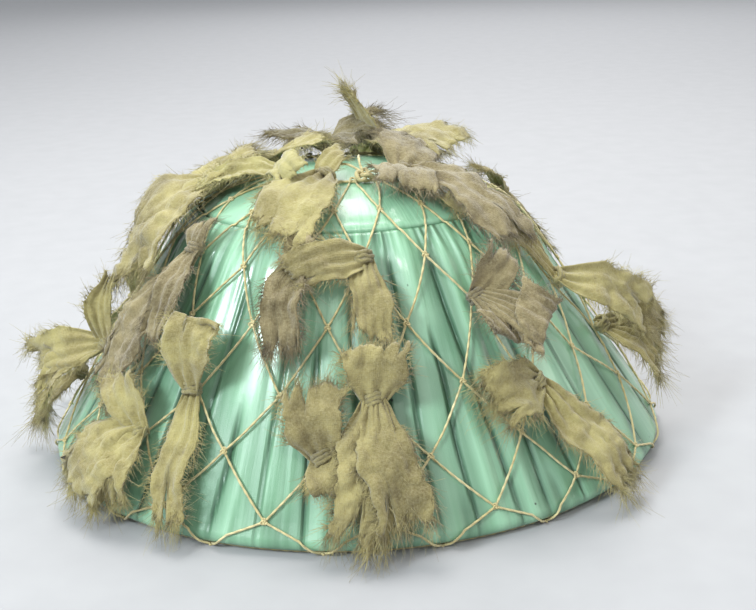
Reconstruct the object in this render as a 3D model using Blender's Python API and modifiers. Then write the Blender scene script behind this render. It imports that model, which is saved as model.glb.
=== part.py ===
"""A pith helmet in a gathered green cover, under a knotted cord net with torn cloth rags tied into it.

Metres. X runs along the helmet's length, Y across it, Z up, with the rim's draw cord resting on Z = 0.
A turn is an angle round the helmet, 0 at -Y and growing towards +X.
A slope is a length along the body's outline, from the middle of the crown down to the rim and round it.
A lift is a distance out from the body's outer face.
"""

import math

import bmesh
import bpy
from mathutils import Vector

# The helmet's form
HELMET_LENGTH = 0.340
HELMET_WIDTH = 0.292
HELMET_HEIGHT = 0.152
FLARE_ANGLE = math.radians(34.7)
CROWN_RADIUS = 0.200
SHOULDER_RADIUS = 0.065
BODY_WALL = 0.0045

# The cover
COVER_WALL = 0.0010
PLEAT_DEPTH = 0.0028
RIM_PLEAT = 0.0004
SEAM_SLOPE = 0.083
HEM_WIDTH = 0.014
PLEATS = 38

# The net and its draw cords
NET_COLUMNS = 19
NET_TURN = math.radians(4.3)
NET_CORD = 0.0016
RIM_CORD = 0.0018
RIM_CORD_FLAT = 0.0003
RIM_CORD_ANGLE = math.radians(17)
CROWN_CORD = 0.0018
CROWN_RING_SLOPE = 0.040
LOOP_TURN = math.radians(2.5)
NET_REACH = 0.009
KNOT_TURN = math.radians(12.6)
KNOT_RADIUS = 0.0030
KNOT_CORD = 0.0014
KNOT_TAIL = 0.016
SHORT_TAIL = 0.010

# The rags
RAG_LENGTH = 0.050
RAG_WIDTH = 0.030
RAG_LIFT = 0.010
RAG_WALL = 0.0012
RAG_KNOT_WIDTH = 0.014
RAG_FOLD = 0.0012
RAG_OPENING = 1.6  # how soon a tail opens out past its knot
RAG_RISE = 1.2  # how late a tail lifts, as a power of the way to its end
RAG_TEAR = 0.0035
KNOT_CURL = math.radians(180)
TAIL_CURL = math.radians(50)
FLOOR_REST = 0.0008

# Clearances
GAP = 0.0003

# Facets
BODY_STEPS = 2 * NET_COLUMNS
COVER_STEPS = 2 * PLEATS
RIM_STEPS = 3
CORD_SIDES = 6
RAG_ACROSS = 3
RAG_ALONG = 8
KNOT_STEPS = 30
CROWN_BEND = 0.45  # where the crown's arc has its middle ring of facets, as a share of the arc

# The pleats' depth at the seam, and how far a plain fold is sunk, as shares
SEAM_PLEAT = 0.35
PLAIN_FOLD = 0.55

# The deepest folds of the cover: where round the helmet, how wide, how much deeper than the rest
DEEP_FOLDS = (
    # turn in degrees, half width in degrees, extra share of depth
    (-58.0, 9.0, 0.9),
    (-36.0, 7.0, 0.6),
    (-9.0, 6.0, 0.5),
    (16.0, 6.0, 0.7),
    (36.0, 8.0, 0.9),
    (78.0, 9.0, 0.6),
    (121.0, 8.0, 0.8),
    (169.0, 9.0, 0.7),
    (-146.0, 8.0, 0.8),
    (-101.0, 8.0, 0.6),
)

# The net's rows of knots, at shares of the slope from crown to rim.
# Every other row, A, C and E, has its knots half a column along.
NET_ROWS = {
    # row: slope share
    "A": 0.290,
    "B": 0.421,
    "C": 0.562,
    "D": 0.718,
    "E": 0.832,
    "F": 0.965,
}

# Knots that have been pulled out of line, as shares of a column and of the helmet's slope
NET_SLIPS = {
    # (row, column): (round, down)
    ("A", 2.5): (-0.30, 0.022),
    ("A", 16.5): (0.10, 0.018),
    ("B", 17.0): (0.12, 0.019),
    ("B", 16.0): (0.15, 0.008),
    ("B", 2.0): (-0.12, -0.008),
    ("C", 1.5): (0.00, -0.030),
    ("C", 3.5): (-0.25, 0.000),
    ("D", 1.0): (0.02, -0.019),
    ("D", 2.0): (-0.15, 0.025),
    ("D", 3.0): (-0.18, -0.010),
    ("D", 4.0): (-0.30, 0.000),
    ("D", 18.0): (0.00, -0.010),
    ("E", 0.5): (0.00, 0.010),
    ("F", 3.0): (-0.05, 0.008),
    ("F", 2.0): (-0.08, -0.010),
}

# The rags: the net knot that each is tied to, and its two tails.
# A tail has a heading (degrees, 0 down the slope, 90 towards growing turn), then shares of
# RAG_LENGTH, RAG_WIDTH and RAG_LIFT, and a twist in degrees.
RAGS = {
    # name: (row, column, (heading, length, width, lift, twist), (the same))
    "rag_spike": ("T", 8, (140, 0.90, 0.67, 4.2, 20), (-51, 1.00, 0.80, 1.5, 0)),
    "rag_crown_fringe": ("T", 10, (-170, 0.60, 0.75, 1.2, 10), (10, 0.50, 0.70, 0.8, 0)),
    "rag_crown_right": ("T", 2, (18, 1.20, 0.90, 0.7, 0), (150, 0.50, 0.70, 1.0, 0)),
    "rag_crown_left": ("T", 18, (-8, 0.80, 1.15, 0.5, 0), (-150, 0.30, 0.50, 0.8, 0)),
    "rag_crown_ribbon": ("T", 16, (-24, 0.90, 0.45, 1.2, 0), (-175, 0.30, 0.50, 0.6, 0)),
    "rag_crown_strands": ("T", 13, (12, 1.10, 0.60, 0.8, 0), (-170, 0.40, 0.60, 1.0, 0)),
    "rag_front_upper": ("B", 0, (-105, 0.60, 0.70, 1.6, 0), (16, 0.90, 0.60, 0.6, 0)),
    "rag_front_left": ("B", 18, (-4, 0.75, 0.60, 0.7, 0), (178, 0.30, 0.50, 0.2, 0)),
    "rag_front_centre": ("D", 0, (160, 0.50, 0.90, 1.6, 0), (2, 1.60, 1.40, 1.0, 0)),
    "rag_front_lower": ("E", 18.5, (-170, 0.60, 0.70, 0.6, 0), (-18, 0.40, 0.60, 0.6, 0)),
    "rag_right_bow": ("C", 1.5, (145, 0.60, 0.80, 1.0, 0), (15, 0.85, 1.00, 1.2, 0)),
    "rag_right_lower": ("D", 2, (-105, 0.62, 1.00, 0.6, 0), (20, 1.30, 0.90, 0.7, 0)),
    "rag_right_edge": ("C", 3.5, (155, 1.30, 0.35, 0.3, 0), (58, 0.90, 0.70, 2.2, 0)),
    "rag_right_tuft": ("D", 4, (66, 1.00, 0.75, 3.4, 0), (-50, 0.80, 0.80, 2.0, 0)),
    "rag_left_strip": ("D", 17, (-172, 0.80, 0.60, 1.2, 0), (10, 1.42, 0.63, 0.5, 0)),
    "rag_left_long": ("B", 16, (-4, 1.62, 0.60, 0.8, 0), (-178, 0.30, 0.60, 0.5, 0)),
    "rag_left_skirt": ("E", 16.5, (0, 0.90, 1.40, 1.2, 0), (-120, 0.52, 0.80, 1.4, 0)),
    "rag_left_leaf": ("D", 15, (-150, 0.66, 0.55, 2.0, 10), (-26, 1.00, 0.70, 2.6, 0)),
    "rag_left_end": ("E", 14.5, (-32, 0.90, 0.55, 1.0, 0), (175, 0.30, 0.40, 0.2, 0)),
    "rag_left_shoulder": ("A", 14.5, (-160, 0.35, 0.50, 0.8, 0), (6, 1.20, 1.00, 0.9, 0)),
    "rag_back_a": ("B", 6, (-150, 0.60, 0.80, 1.0, 0), (4, 1.00, 0.90, 0.7, 0)),
    "rag_back_b": ("D", 7, (170, 0.60, 0.80, 1.2, 0), (-6, 1.20, 0.90, 0.8, 0)),
    "rag_back_c": ("B", 9, (-160, 0.50, 0.80, 0.9, 0), (8, 0.95, 0.80, 0.8, 0)),
    "rag_back_d": ("D", 10, (-170, 0.60, 0.90, 1.0, 0), (-4, 1.50, 1.00, 1.4, 0)),
    "rag_back_e": ("B", 12, (160, 0.45, 0.70, 0.9, 0), (-8, 0.95, 0.80, 0.8, 0)),
    "rag_back_f": ("D", 13, (175, 0.70, 0.80, 1.3, 0), (4, 1.30, 0.90, 0.8, 0)),
}

OVAL = HELMET_WIDTH / HELMET_LENGTH
FLARE_TILT = math.pi / 2 - FLARE_ANGLE  # the flare's face leans this far from straight up
RIM_HALF = BODY_WALL / 2
CHORD_SAG = HELMET_LENGTH / 2 * (1 - math.cos(math.pi / NET_COLUMNS / 2))
HEM_GAP = GAP + HELMET_LENGTH / 2 * (1 - math.cos(math.pi / BODY_STEPS))
RIM_COVER = RIM_HALF + HEM_GAP + COVER_WALL  # from the middle of the rim's edge to the cover's face
RIM_RADIUS = HELMET_LENGTH / 2 - RIM_HALF - GAP - COVER_WALL - RIM_PLEAT
RIM_CORD_REACH = RIM_COVER + GAP + RIM_CORD / 2
RIM_Z = RIM_CORD / 2 - RIM_CORD_FLAT + RIM_CORD_REACH * math.cos(RIM_CORD_ANGLE)
BODY_TOP = HELMET_HEIGHT - GAP - COVER_WALL


class Outline:
    """The body's outer outline: a crown arc, a shoulder arc, the straight flare and the round rim."""

    def __init__(self):
        tilt = Vector((math.sin(FLARE_TILT), math.cos(FLARE_TILT)))
        self.up_flare = Vector((-math.cos(FLARE_TILT), math.sin(FLARE_TILT)))
        self.rim_centre = Vector((RIM_RADIUS, RIM_Z))
        flare_foot = self.rim_centre + RIM_HALF * tilt
        self.crown_centre = Vector((0, BODY_TOP - CROWN_RADIUS))
        # The shoulder arc touches the flare, and the crown arc from inside
        reach = flare_foot - SHOULDER_RADIUS * tilt - self.crown_centre
        half = reach.dot(self.up_flare)
        inner = CROWN_RADIUS - SHOULDER_RADIUS
        flare = -half + math.sqrt(half * half - reach.length_squared + inner * inner)
        self.shoulder_centre = self.crown_centre + reach + flare * self.up_flare
        to_shoulder = self.shoulder_centre - self.crown_centre
        self.crown_tilt = math.atan2(to_shoulder.x, to_shoulder.y)
        self.flare_top = self.shoulder_centre + SHOULDER_RADIUS * tilt
        self.crown_end = CROWN_RADIUS * self.crown_tilt
        self.shoulder_end = self.crown_end + SHOULDER_RADIUS * (FLARE_TILT - self.crown_tilt)
        self.flare_end = self.shoulder_end + flare
        self.rim_end = self.flare_end + math.pi * RIM_HALF

    def at(self, slope):
        """Radius, height and tilt of the face at a slope."""
        if slope < self.crown_end:
            tilt, centre, radius = slope / CROWN_RADIUS, self.crown_centre, CROWN_RADIUS
        elif slope < self.shoulder_end:
            tilt = self.crown_tilt + (slope - self.crown_end) / SHOULDER_RADIUS
            centre, radius = self.shoulder_centre, SHOULDER_RADIUS
        elif slope < self.flare_end:
            place = self.flare_top - (slope - self.shoulder_end) * self.up_flare
            return place.x, place.y, FLARE_TILT
        else:
            tilt = FLARE_TILT + (min(slope, self.rim_end) - self.flare_end) / RIM_HALF
            centre, radius = self.rim_centre, RIM_HALF
        place = centre + radius * Vector((math.sin(tilt), math.cos(tilt)))
        if slope > self.rim_end:
            place = place + (slope - self.rim_end) * self.up_flare
        return place.x, place.y, tilt

    def rim_slope(self, tilt):
        """The slope at which the round rim's face has this tilt."""
        return self.flare_end + (tilt - FLARE_TILT) * RIM_HALF


OUTLINE = Outline()


def smooth(share):
    share = max(0.0, min(1.0, share))
    return share * share * (3 - 2 * share)


def surface(turn, slope, lift=0.0):
    """The point at a turn, slope and lift."""
    radius, height, tilt = OUTLINE.at(slope)
    normal = Vector((
        OVAL * math.sin(tilt) * math.sin(turn),
        -math.sin(tilt) * math.cos(turn),
        OVAL * math.cos(tilt),
    ))
    base = Vector((radius * math.sin(turn), -OVAL * radius * math.cos(turn), height))
    return base + lift * normal.normalized()


def surface_axes(turn, slope):
    """Unit vectors down the slope, round the helmet and out of the face."""
    step = 1e-5
    down = (surface(turn, slope + step) - surface(turn, slope - step)).normalized()
    along = (surface(turn + step, slope) - surface(turn - step, slope)).normalized()
    return down, along, down.cross(along).normalized()


def pleat_room(slope):
    """How far the pleats' crests stand out at this slope."""
    if slope < SEAM_SLOPE:
        return 0.0
    if slope >= OUTLINE.flare_end:
        round_share = (slope - OUTLINE.flare_end) / (OUTLINE.rim_end - OUTLINE.flare_end)
        return RIM_PLEAT * max(0.0, 1 - 2 * round_share)
    if slope <= OUTLINE.shoulder_end:
        share = (slope - SEAM_SLOPE) / (OUTLINE.shoulder_end - SEAM_SLOPE)
        return PLEAT_DEPTH * (SEAM_PLEAT + (1 - SEAM_PLEAT) * share)
    share = (slope - OUTLINE.shoulder_end) / (OUTLINE.flare_end - OUTLINE.shoulder_end)
    return PLEAT_DEPTH + (RIM_PLEAT - PLEAT_DEPTH) * share


def cover_gap(slope):
    """The gap between body and cover, wider under the rim where the body's facets come closer."""
    share = (slope - OUTLINE.flare_end) / (OUTLINE.rim_end - OUTLINE.flare_end)
    return GAP + (HEM_GAP - GAP) * smooth(share)


def cover_face(slope):
    """The lift of the cover's crests."""
    return cover_gap(slope) + COVER_WALL + pleat_room(slope)


def fold_depth(turn):
    """Share of the pleat room that a fold at this turn is sunk by."""
    depth = PLAIN_FOLD
    for middle, half_width, extra in DEEP_FOLDS:
        away = (math.degrees(turn) - middle + 180) % 360 - 180
        depth += (1 - PLAIN_FOLD) * extra * max(0.0, 1 - abs(away) / half_width)
    return min(1.0, depth)


def net_lift(slope):
    """The lift of the net cord's middle."""
    sag = 0.0 if slope > OUTLINE.flare_end else CHORD_SAG
    return cover_face(slope) + GAP + sag + NET_CORD / 2


def net_top(slope):
    return net_lift(slope) + NET_CORD / 2


def column_turn(column):
    return NET_TURN + column * 2 * math.pi / NET_COLUMNS


def knot_place(row, column):
    """Turn and slope of a net knot; T is the row at the crown's cord, G the one at the rim's."""
    if row == "T":
        return column_turn(column), CROWN_RING_SLOPE + CROWN_CORD / 2 + GAP + NET_CORD / 2
    if row == "G":
        reach = RIM_CORD / 2 + GAP + NET_CORD / 2
        past = RIM_CORD_ANGLE + 2 * math.asin(reach / 2 / (RIM_COVER + GAP + NET_CORD / 2))
        return column_turn(column), OUTLINE.rim_slope(math.pi - past)
    sideways, down = NET_SLIPS.get((row, column % NET_COLUMNS), (0.0, 0.0))
    return column_turn(column + sideways), (NET_ROWS[row] + down) * OUTLINE.flare_end


def material(name, colour, roughness):
    made = bpy.data.materials.new(name)
    made.use_nodes = True
    shader = made.node_tree.nodes["Principled BSDF"]
    shader.inputs["Base Color"].default_value = (*colour, 1.0)
    shader.inputs["Roughness"].default_value = roughness
    shader.inputs["Metallic"].default_value = 0.0
    made.diffuse_color = (*colour, 1.0)
    return made


def add_object(name, mesh, finish, group):
    made = bpy.data.objects.new(name, mesh)
    made.data.materials.append(finish)
    group.objects.link(made)
    return made


def turned_piece(name, profile, finish, group):
    """A closed profile in the XZ plane, turned round Z and made oval."""
    mesh = bpy.data.meshes.new(name)
    edges = [(i, i + 1) for i in range(len(profile) - 1)]
    mesh.from_pydata([(radius, 0.0, height) for radius, height in profile], edges, [])
    made = add_object(name, mesh, finish, group)
    made.scale.y = OVAL
    screw = made.modifiers.new("Turn", "SCREW")
    screw.axis = "Z"
    screw.steps = screw.render_steps = BODY_STEPS
    screw.use_merge_vertices = True
    screw.merge_threshold = 1e-5
    return made


def offset_profile(slopes, lift):
    """Outline points moved out by a lift, ending on the axis where they start there."""
    points = []
    for slope in slopes:
        radius, height, tilt = OUTLINE.at(slope)
        points.append((max(0.0, radius + lift * math.sin(tilt)), height + lift * math.cos(tilt)))
    return points


def helmet_body(finish, group):
    """The pith body: one hollow wall with a round rim."""
    slopes = [0.0, CROWN_BEND * OUTLINE.crown_end, OUTLINE.crown_end, SEAM_SLOPE, OUTLINE.shoulder_end]
    rim = [OUTLINE.flare_end + i * math.pi * RIM_HALF / RIM_STEPS for i in range(RIM_STEPS + 1)]
    outer = offset_profile(slopes, 0.0) + offset_profile(rim, 0.0)
    inner = offset_profile(slopes, -BODY_WALL)
    return turned_piece("helmet_body", outer + inner[::-1], finish, group)


def cover_crown(finish, group):
    """The smooth round top of the cover, as far as its seam."""
    bend = OUTLINE.crown_end
    slopes = [0.0, CROWN_BEND * bend, bend, (bend + SEAM_SLOPE) / 2, SEAM_SLOPE]
    outer = offset_profile(slopes, GAP + COVER_WALL)
    inner = offset_profile(slopes, GAP)
    return turned_piece("cover_crown", outer + inner[::-1], finish, group)


def grid_object(name, across, along, place, finish, group, joined=False):
    """A Blender grid of quads whose corners place(i, j) puts where they belong."""
    form = bmesh.new()
    bmesh.ops.create_grid(form, x_segments=across, y_segments=along, size=0.5)
    for vertex in form.verts:
        i = across - round((vertex.co.x + 0.5) * across)
        j = round((vertex.co.y + 0.5) * along)
        vertex.co = place(i, j)
    if joined:
        bmesh.ops.remove_doubles(form, verts=form.verts, dist=1e-6)
    mesh = bpy.data.meshes.new(name)
    form.to_mesh(mesh)
    form.free()
    return add_object(name, mesh, finish, group)


def thicken(made, wall, offset):
    solidify = made.modifiers.new("Wall", "SOLIDIFY")
    solidify.thickness = wall
    solidify.offset = offset
    solidify.use_even_offset = True


def cover_side(finish, group):
    """The gathered side of the cover, from the seam over the rim to its hem underneath."""
    slopes = [SEAM_SLOPE + GAP, OUTLINE.shoulder_end, OUTLINE.flare_end]
    slopes += [OUTLINE.flare_end + i * math.pi * RIM_HALF / RIM_STEPS for i in range(1, RIM_STEPS + 1)]
    slopes.append(OUTLINE.rim_end + HEM_WIDTH)

    def place(i, j):
        turn = 2 * math.pi * (i % COVER_STEPS) / COVER_STEPS
        sunk = pleat_room(slopes[j]) * fold_depth(turn) if i % 2 else 0.0
        return surface(turn, slopes[j], cover_face(slopes[j]) - sunk)

    made = grid_object("cover_side", COVER_STEPS, len(slopes) - 1, place, finish, group, joined=True)
    thicken(made, COVER_WALL, -1.0)
    return made


def net_bends(slope_a, slope_b):
    """The slopes between two knots at which the cord bends with the face."""
    bends = [OUTLINE.crown_end, SEAM_SLOPE]
    bends = [slope for slope in bends if slope_a + NET_REACH < slope < slope_b - NET_REACH]
    rim_middle = (OUTLINE.flare_end + knot_place("G", 0)[1]) / 2
    return bends + [slope for slope in (OUTLINE.flare_end, rim_middle) if slope_a < slope < slope_b]


def cord_net(finish, group):
    """The knotted net: open diamonds of cord, fused at the knots, on the cover."""
    form = bmesh.new()
    corners = {}

    def corner(key, turn, slope):
        if key not in corners:
            corners[key] = form.verts.new(surface(turn, slope, net_lift(slope)))
        return corners[key]

    def knot(row, column):
        around = column % NET_COLUMNS
        if row != "T":
            return [corner((row, around), *knot_place(row, around))]
        turn, slope = knot_place(row, around)
        return [corner((row, around, side), turn + side * LOOP_TURN, slope) for side in (-1, 1)]

    def strand(upper, lower):
        """Corners from a knot down to one beside it in the next row, without the upper knot's."""
        turn_a, slope_a = knot_place(*upper)
        turn_b, slope_b = knot_place(*lower)
        key = (upper[0], upper[1] % NET_COLUMNS, lower[1] > upper[1])
        found = []
        for slope in net_bends(slope_a, slope_b):
            share = (slope - slope_a) / (slope_b - slope_a)
            found.append(corner((*key, round(slope, 6)), turn_a + (turn_b - turn_a) * share, slope))
        return found + knot(*lower)

    rows = ["T", *NET_ROWS, "G"]
    for index, (top, middle, bottom) in enumerate(zip(rows, rows[1:], rows[2:])):
        for i in range(NET_COLUMNS):
            column = i + 0.5 * (index % 2)
            left, right = (middle, column - 0.5), (middle, column + 0.5)
            down_left = strand((top, column), left) + strand(left, (bottom, column))
            down_right = strand((top, column), right) + strand(right, (bottom, column))
            form.faces.new(knot(top, column)[::-1] + down_left + down_right[-2::-1])
    mesh = bpy.data.meshes.new("cord_net")
    form.to_mesh(mesh)
    form.free()
    made = add_object("cord_net", mesh, finish, group)
    wire = made.modifiers.new("Cords", "WIREFRAME")
    wire.thickness = NET_CORD
    wire.offset = 0.0
    wire.use_even_offset = True
    wire.use_boundary = True
    wire.use_replace = True
    return made


def tube(name, points, diameter, cyclic, finish, group):
    """A round cord along points, as a mesh with closed ends."""
    curve = bpy.data.curves.new(name, "CURVE")
    curve.dimensions = "3D"
    curve.bevel_depth = diameter / 2
    curve.bevel_resolution = CORD_SIDES // 2 - 2
    curve.use_fill_caps = True
    spline = curve.splines.new("POLY")
    spline.points.add(len(points) - 1)
    for corner, point in zip(spline.points, points):
        corner.co = (*point, 1.0)
    spline.use_cyclic_u = cyclic
    guide = bpy.data.objects.new(name + "_guide", curve)
    group.objects.link(guide)
    bpy.context.view_layer.update()
    evaluated = guide.evaluated_get(bpy.context.evaluated_depsgraph_get())
    mesh = bpy.data.meshes.new_from_object(evaluated)
    bpy.data.objects.remove(guide)
    form = bmesh.new()
    form.from_mesh(mesh)
    bmesh.ops.remove_doubles(form, verts=form.verts, dist=1e-6)
    form.to_mesh(mesh)
    form.free()
    mesh.materials.clear()
    return add_object(name, mesh, finish, group)


def rim_cord(finish, group):
    """The cord that draws the net in under the rim, pressed flat where the helmet rests on it."""
    reach = RIM_RADIUS + RIM_CORD_REACH * math.sin(RIM_CORD_ANGLE)
    height = RIM_CORD / 2 - RIM_CORD_FLAT
    points = []
    for i in range(BODY_STEPS):
        turn = 2 * math.pi * i / BODY_STEPS
        side = OUTLINE.rim_slope(math.pi / 2)
        normal = surface(turn, side, 1.0) - surface(turn, side)
        middle = Vector((RIM_RADIUS * math.sin(turn), -OVAL * RIM_RADIUS * math.cos(turn), height))
        points.append(middle + (reach - RIM_RADIUS) * normal)
    made = tube("rim_cord", points, RIM_CORD, True, finish, group)
    for vertex in made.data.vertices:
        vertex.co.z = max(0.0, vertex.co.z)
    return made


def crown_cord(finish, group):
    """The cord that draws the net's top row together on the crown."""
    lift = cover_face(0.0) + GAP + CROWN_CORD / 2
    points = [
        surface(2 * math.pi * i / BODY_STEPS, CROWN_RING_SLOPE, lift) for i in range(BODY_STEPS)
    ]
    return tube("crown_cord", points, CROWN_CORD, True, finish, group)


def crown_knot(finish, group):
    """The overhand knot in the crown's cord, with its two loose ends."""
    down, along, out = surface_axes(KNOT_TURN, CROWN_RING_SLOPE)
    bulge = KNOT_RADIUS / 2
    low = cover_face(0.0) + GAP + CROWN_CORD + GAP
    middle = surface(KNOT_TURN, CROWN_RING_SLOPE, low + bulge + CROWN_CORD / 2)
    spread = KNOT_RADIUS / 2
    points = []
    for i in range(1, KNOT_STEPS):
        angle = 2 * math.pi * i / KNOT_STEPS
        across = math.sin(angle) + 2 * math.sin(2 * angle)
        upward = math.cos(angle) - 2 * math.cos(2 * angle)
        depth = -math.sin(3 * angle)
        points.append(middle + spread * (across * along + upward * down) + bulge * depth * out)
    upright = (0.6 * out + 0.9 * along - 0.3 * down).normalized()
    backward = (0.5 * out - along - 0.7 * down).normalized()
    points.insert(0, points[0] + SHORT_TAIL * upright)
    points.append(points[-1] + KNOT_TAIL * backward)
    return tube("crown_knot", points, KNOT_CORD, False, finish, group)


def draped(turn, slope, lift):
    """A point over the helmet's face, or past its rim, down the flare's line and out along the floor."""
    if slope <= OUTLINE.flare_end:
        return surface(turn, slope, lift)
    edge = surface(turn, OUTLINE.flare_end, lift)
    down, _, _ = surface_axes(turn, OUTLINE.flare_end - 1e-4)
    fall = min(slope - OUTLINE.flare_end, max(0.0, (edge.z - FLOOR_REST) / -down.z))
    outward = Vector((down.x, down.y, 0.0)).normalized()
    return edge + fall * down + (slope - OUTLINE.flare_end - fall) * outward


def rag_path(start, tail, share):
    """Turn and slope of a tail's middle line, a share of the way to its end."""
    turn, slope = start
    heading = math.radians(tail[0])
    length = RAG_LENGTH * tail[1] * share
    down = length * math.cos(heading)
    radius, _, _ = OUTLINE.at(min(slope + down / 2, OUTLINE.flare_end))
    return turn + length * math.sin(heading) / max(radius, RAG_WIDTH), slope + down


def rag_point(start, tail, share, across):
    """A point of a tail: share of the way to its end, across from -0.5 to 0.5."""
    turn, slope = rag_path(start, tail, share)
    _, _, width_share, lift_share, twist = tail
    open_share = smooth(share * RAG_OPENING)
    width = RAG_KNOT_WIDTH + (RAG_WIDTH * width_share - RAG_KNOT_WIDTH) * open_share
    curl = KNOT_CURL + (TAIL_CURL - KNOT_CURL) * open_share
    bend = width / curl
    sideways = bend * math.sin(curl * across)
    # Cupped round the net's cord at the knot, with its edges down further out
    cup = bend * (math.cos(curl / RAG_ACROSS / 2) - math.cos(curl * across))
    arch = bend * (math.cos(curl * across) - math.cos(curl / 2))
    arch += RAG_FOLD * (1 + math.sin(3 * math.pi * across))
    hump = cup + (arch - cup) * open_share
    lean = math.radians(twist) * share
    stand = abs(math.sin(lean)) * width / 2 + hump * math.cos(lean) - sideways * math.sin(lean)
    lift = RAG_LIFT * lift_share * share ** RAG_RISE + stand
    heading = math.radians(tail[0])
    down, along, _ = surface_axes(turn, min(slope, OUTLINE.flare_end - 1e-4))
    aside = math.cos(heading) * along - math.sin(heading) * down
    base_lift = net_top(min(slope, OUTLINE.flare_end)) + GAP + RAG_WALL / 2
    place = draped(turn, slope, base_lift + lift) + sideways * math.cos(lean) * aside
    place.z = max(place.z, FLOOR_REST)
    return place


def rag(name, row, column, first, second, finish, group):
    """A torn strip of cloth, bunched where it is tied to the net, with two tails."""
    start = knot_place(row, column)
    turned = -1 if math.cos(math.radians(first[0] - second[0])) < 0 else 1

    def place(i, j):
        share = 2 * j / RAG_ALONG - 1
        across = i / RAG_ACROSS - 0.5
        if share == 0:
            return (rag_point(start, first, 0, turned * across) + rag_point(start, second, 0, across)) / 2
        tail = first if share < 0 else second
        side = turned * across if share < 0 else across
        torn = RAG_TEAR * (1 if i % 2 else -1) / (RAG_LENGTH * tail[1])
        return rag_point(start, tail, abs(share) + (torn if abs(share) == 1 else 0.0), side)

    made = grid_object(name, RAG_ACROSS, RAG_ALONG, place, finish, group)
    thicken(made, RAG_WALL, 0.0)
    return made


def main():
    for old in list(bpy.data.objects):
        bpy.data.objects.remove(old)
    group = bpy.data.collections.new("pith_helmet")
    bpy.context.scene.collection.children.link(group)
    pith = material("pith", (0.42, 0.33, 0.20), 0.85)
    green = material("green_cover", (0.16, 0.42, 0.30), 0.30)
    cream = material("net_cord", (0.72, 0.66, 0.42), 0.80)
    olive = material("rag_cloth", (0.27, 0.23, 0.12), 0.95)
    helmet_body(pith, group)
    cover_crown(green, group)
    cover_side(green, group)
    cord_net(cream, group)
    rim_cord(cream, group)
    crown_cord(cream, group)
    crown_knot(cream, group)
    for name, (row, column, first, second) in RAGS.items():
        rag(name, row, column, first, second, olive, group)


main()
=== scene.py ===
# %% [markdown]
# # A pith helmet dressed for cover
# The object is a sun helmet of pith in a shiny green cloth cover: a flat round top, and a side that is
# gathered into it. A knotted cord net holds the cover down. One cord draws the net in on the crown,
# another under the rim, and torn rags are tied into its knots.
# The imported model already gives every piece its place. This script keeps the hard pith body, and gives
# each soft piece its folds, plies and frayed threads.

import math

import bpy
import numpy as np
from mathutils import Matrix, Vector


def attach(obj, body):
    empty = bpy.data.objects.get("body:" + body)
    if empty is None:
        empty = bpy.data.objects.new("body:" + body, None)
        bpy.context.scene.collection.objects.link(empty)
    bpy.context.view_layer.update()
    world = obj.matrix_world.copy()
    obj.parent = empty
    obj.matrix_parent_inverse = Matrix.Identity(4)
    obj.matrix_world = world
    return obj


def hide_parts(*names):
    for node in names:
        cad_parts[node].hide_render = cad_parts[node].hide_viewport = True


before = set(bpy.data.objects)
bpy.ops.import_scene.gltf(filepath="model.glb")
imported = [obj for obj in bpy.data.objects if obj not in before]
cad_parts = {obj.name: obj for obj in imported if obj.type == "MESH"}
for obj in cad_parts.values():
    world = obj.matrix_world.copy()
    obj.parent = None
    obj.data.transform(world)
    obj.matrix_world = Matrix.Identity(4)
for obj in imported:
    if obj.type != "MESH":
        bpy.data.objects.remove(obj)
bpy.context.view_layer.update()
bpy.ops.object.select_all(action="DESELECT")
print("frame nodes:", len(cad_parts))

# %% [markdown]
# ## The helmet's form
# Everything soft lies on the same surface, so that surface comes first. Seen from the side its outline
# is a crown arc, a shoulder arc, a straight flare and a small round rim, and seen from above it is oval.
# A point on it has a turn, which is 0 at the front and grows towards +X, and a slope, which is the
# length along the outline from the middle of the crown. A lift is the distance out from the pith.
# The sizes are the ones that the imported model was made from.

# %% Sizes
HELMET_LENGTH = 0.340
HELMET_WIDTH = 0.292
HELMET_HEIGHT = 0.152
FLARE_ANGLE = math.radians(34.7)
CROWN_RADIUS = 0.200
SHOULDER_RADIUS = 0.065
BODY_WALL = 0.0045
COVER_WALL = 0.0010
PLEAT_DEPTH = 0.0028
SEAM_PLEAT = 0.35
RIM_PLEAT = 0.0004
SEAM_SLOPE = 0.083
HEM_WIDTH = 0.014
RIM_CORD = 0.0018
RIM_CORD_ANGLE = math.radians(17)
GAP = 0.0003

OVAL = HELMET_WIDTH / HELMET_LENGTH
FLARE_TILT = math.pi / 2 - FLARE_ANGLE
RIM_HALF = BODY_WALL / 2
HEM_GAP = 0.0009
RIM_COVER = RIM_HALF + HEM_GAP + COVER_WALL
RIM_RADIUS = HELMET_LENGTH / 2 - RIM_HALF - GAP - COVER_WALL - RIM_PLEAT
RIM_Z = RIM_CORD / 2 - GAP + (RIM_COVER + GAP + RIM_CORD / 2) * math.cos(RIM_CORD_ANGLE)
BODY_TOP = HELMET_HEIGHT - GAP - COVER_WALL


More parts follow.
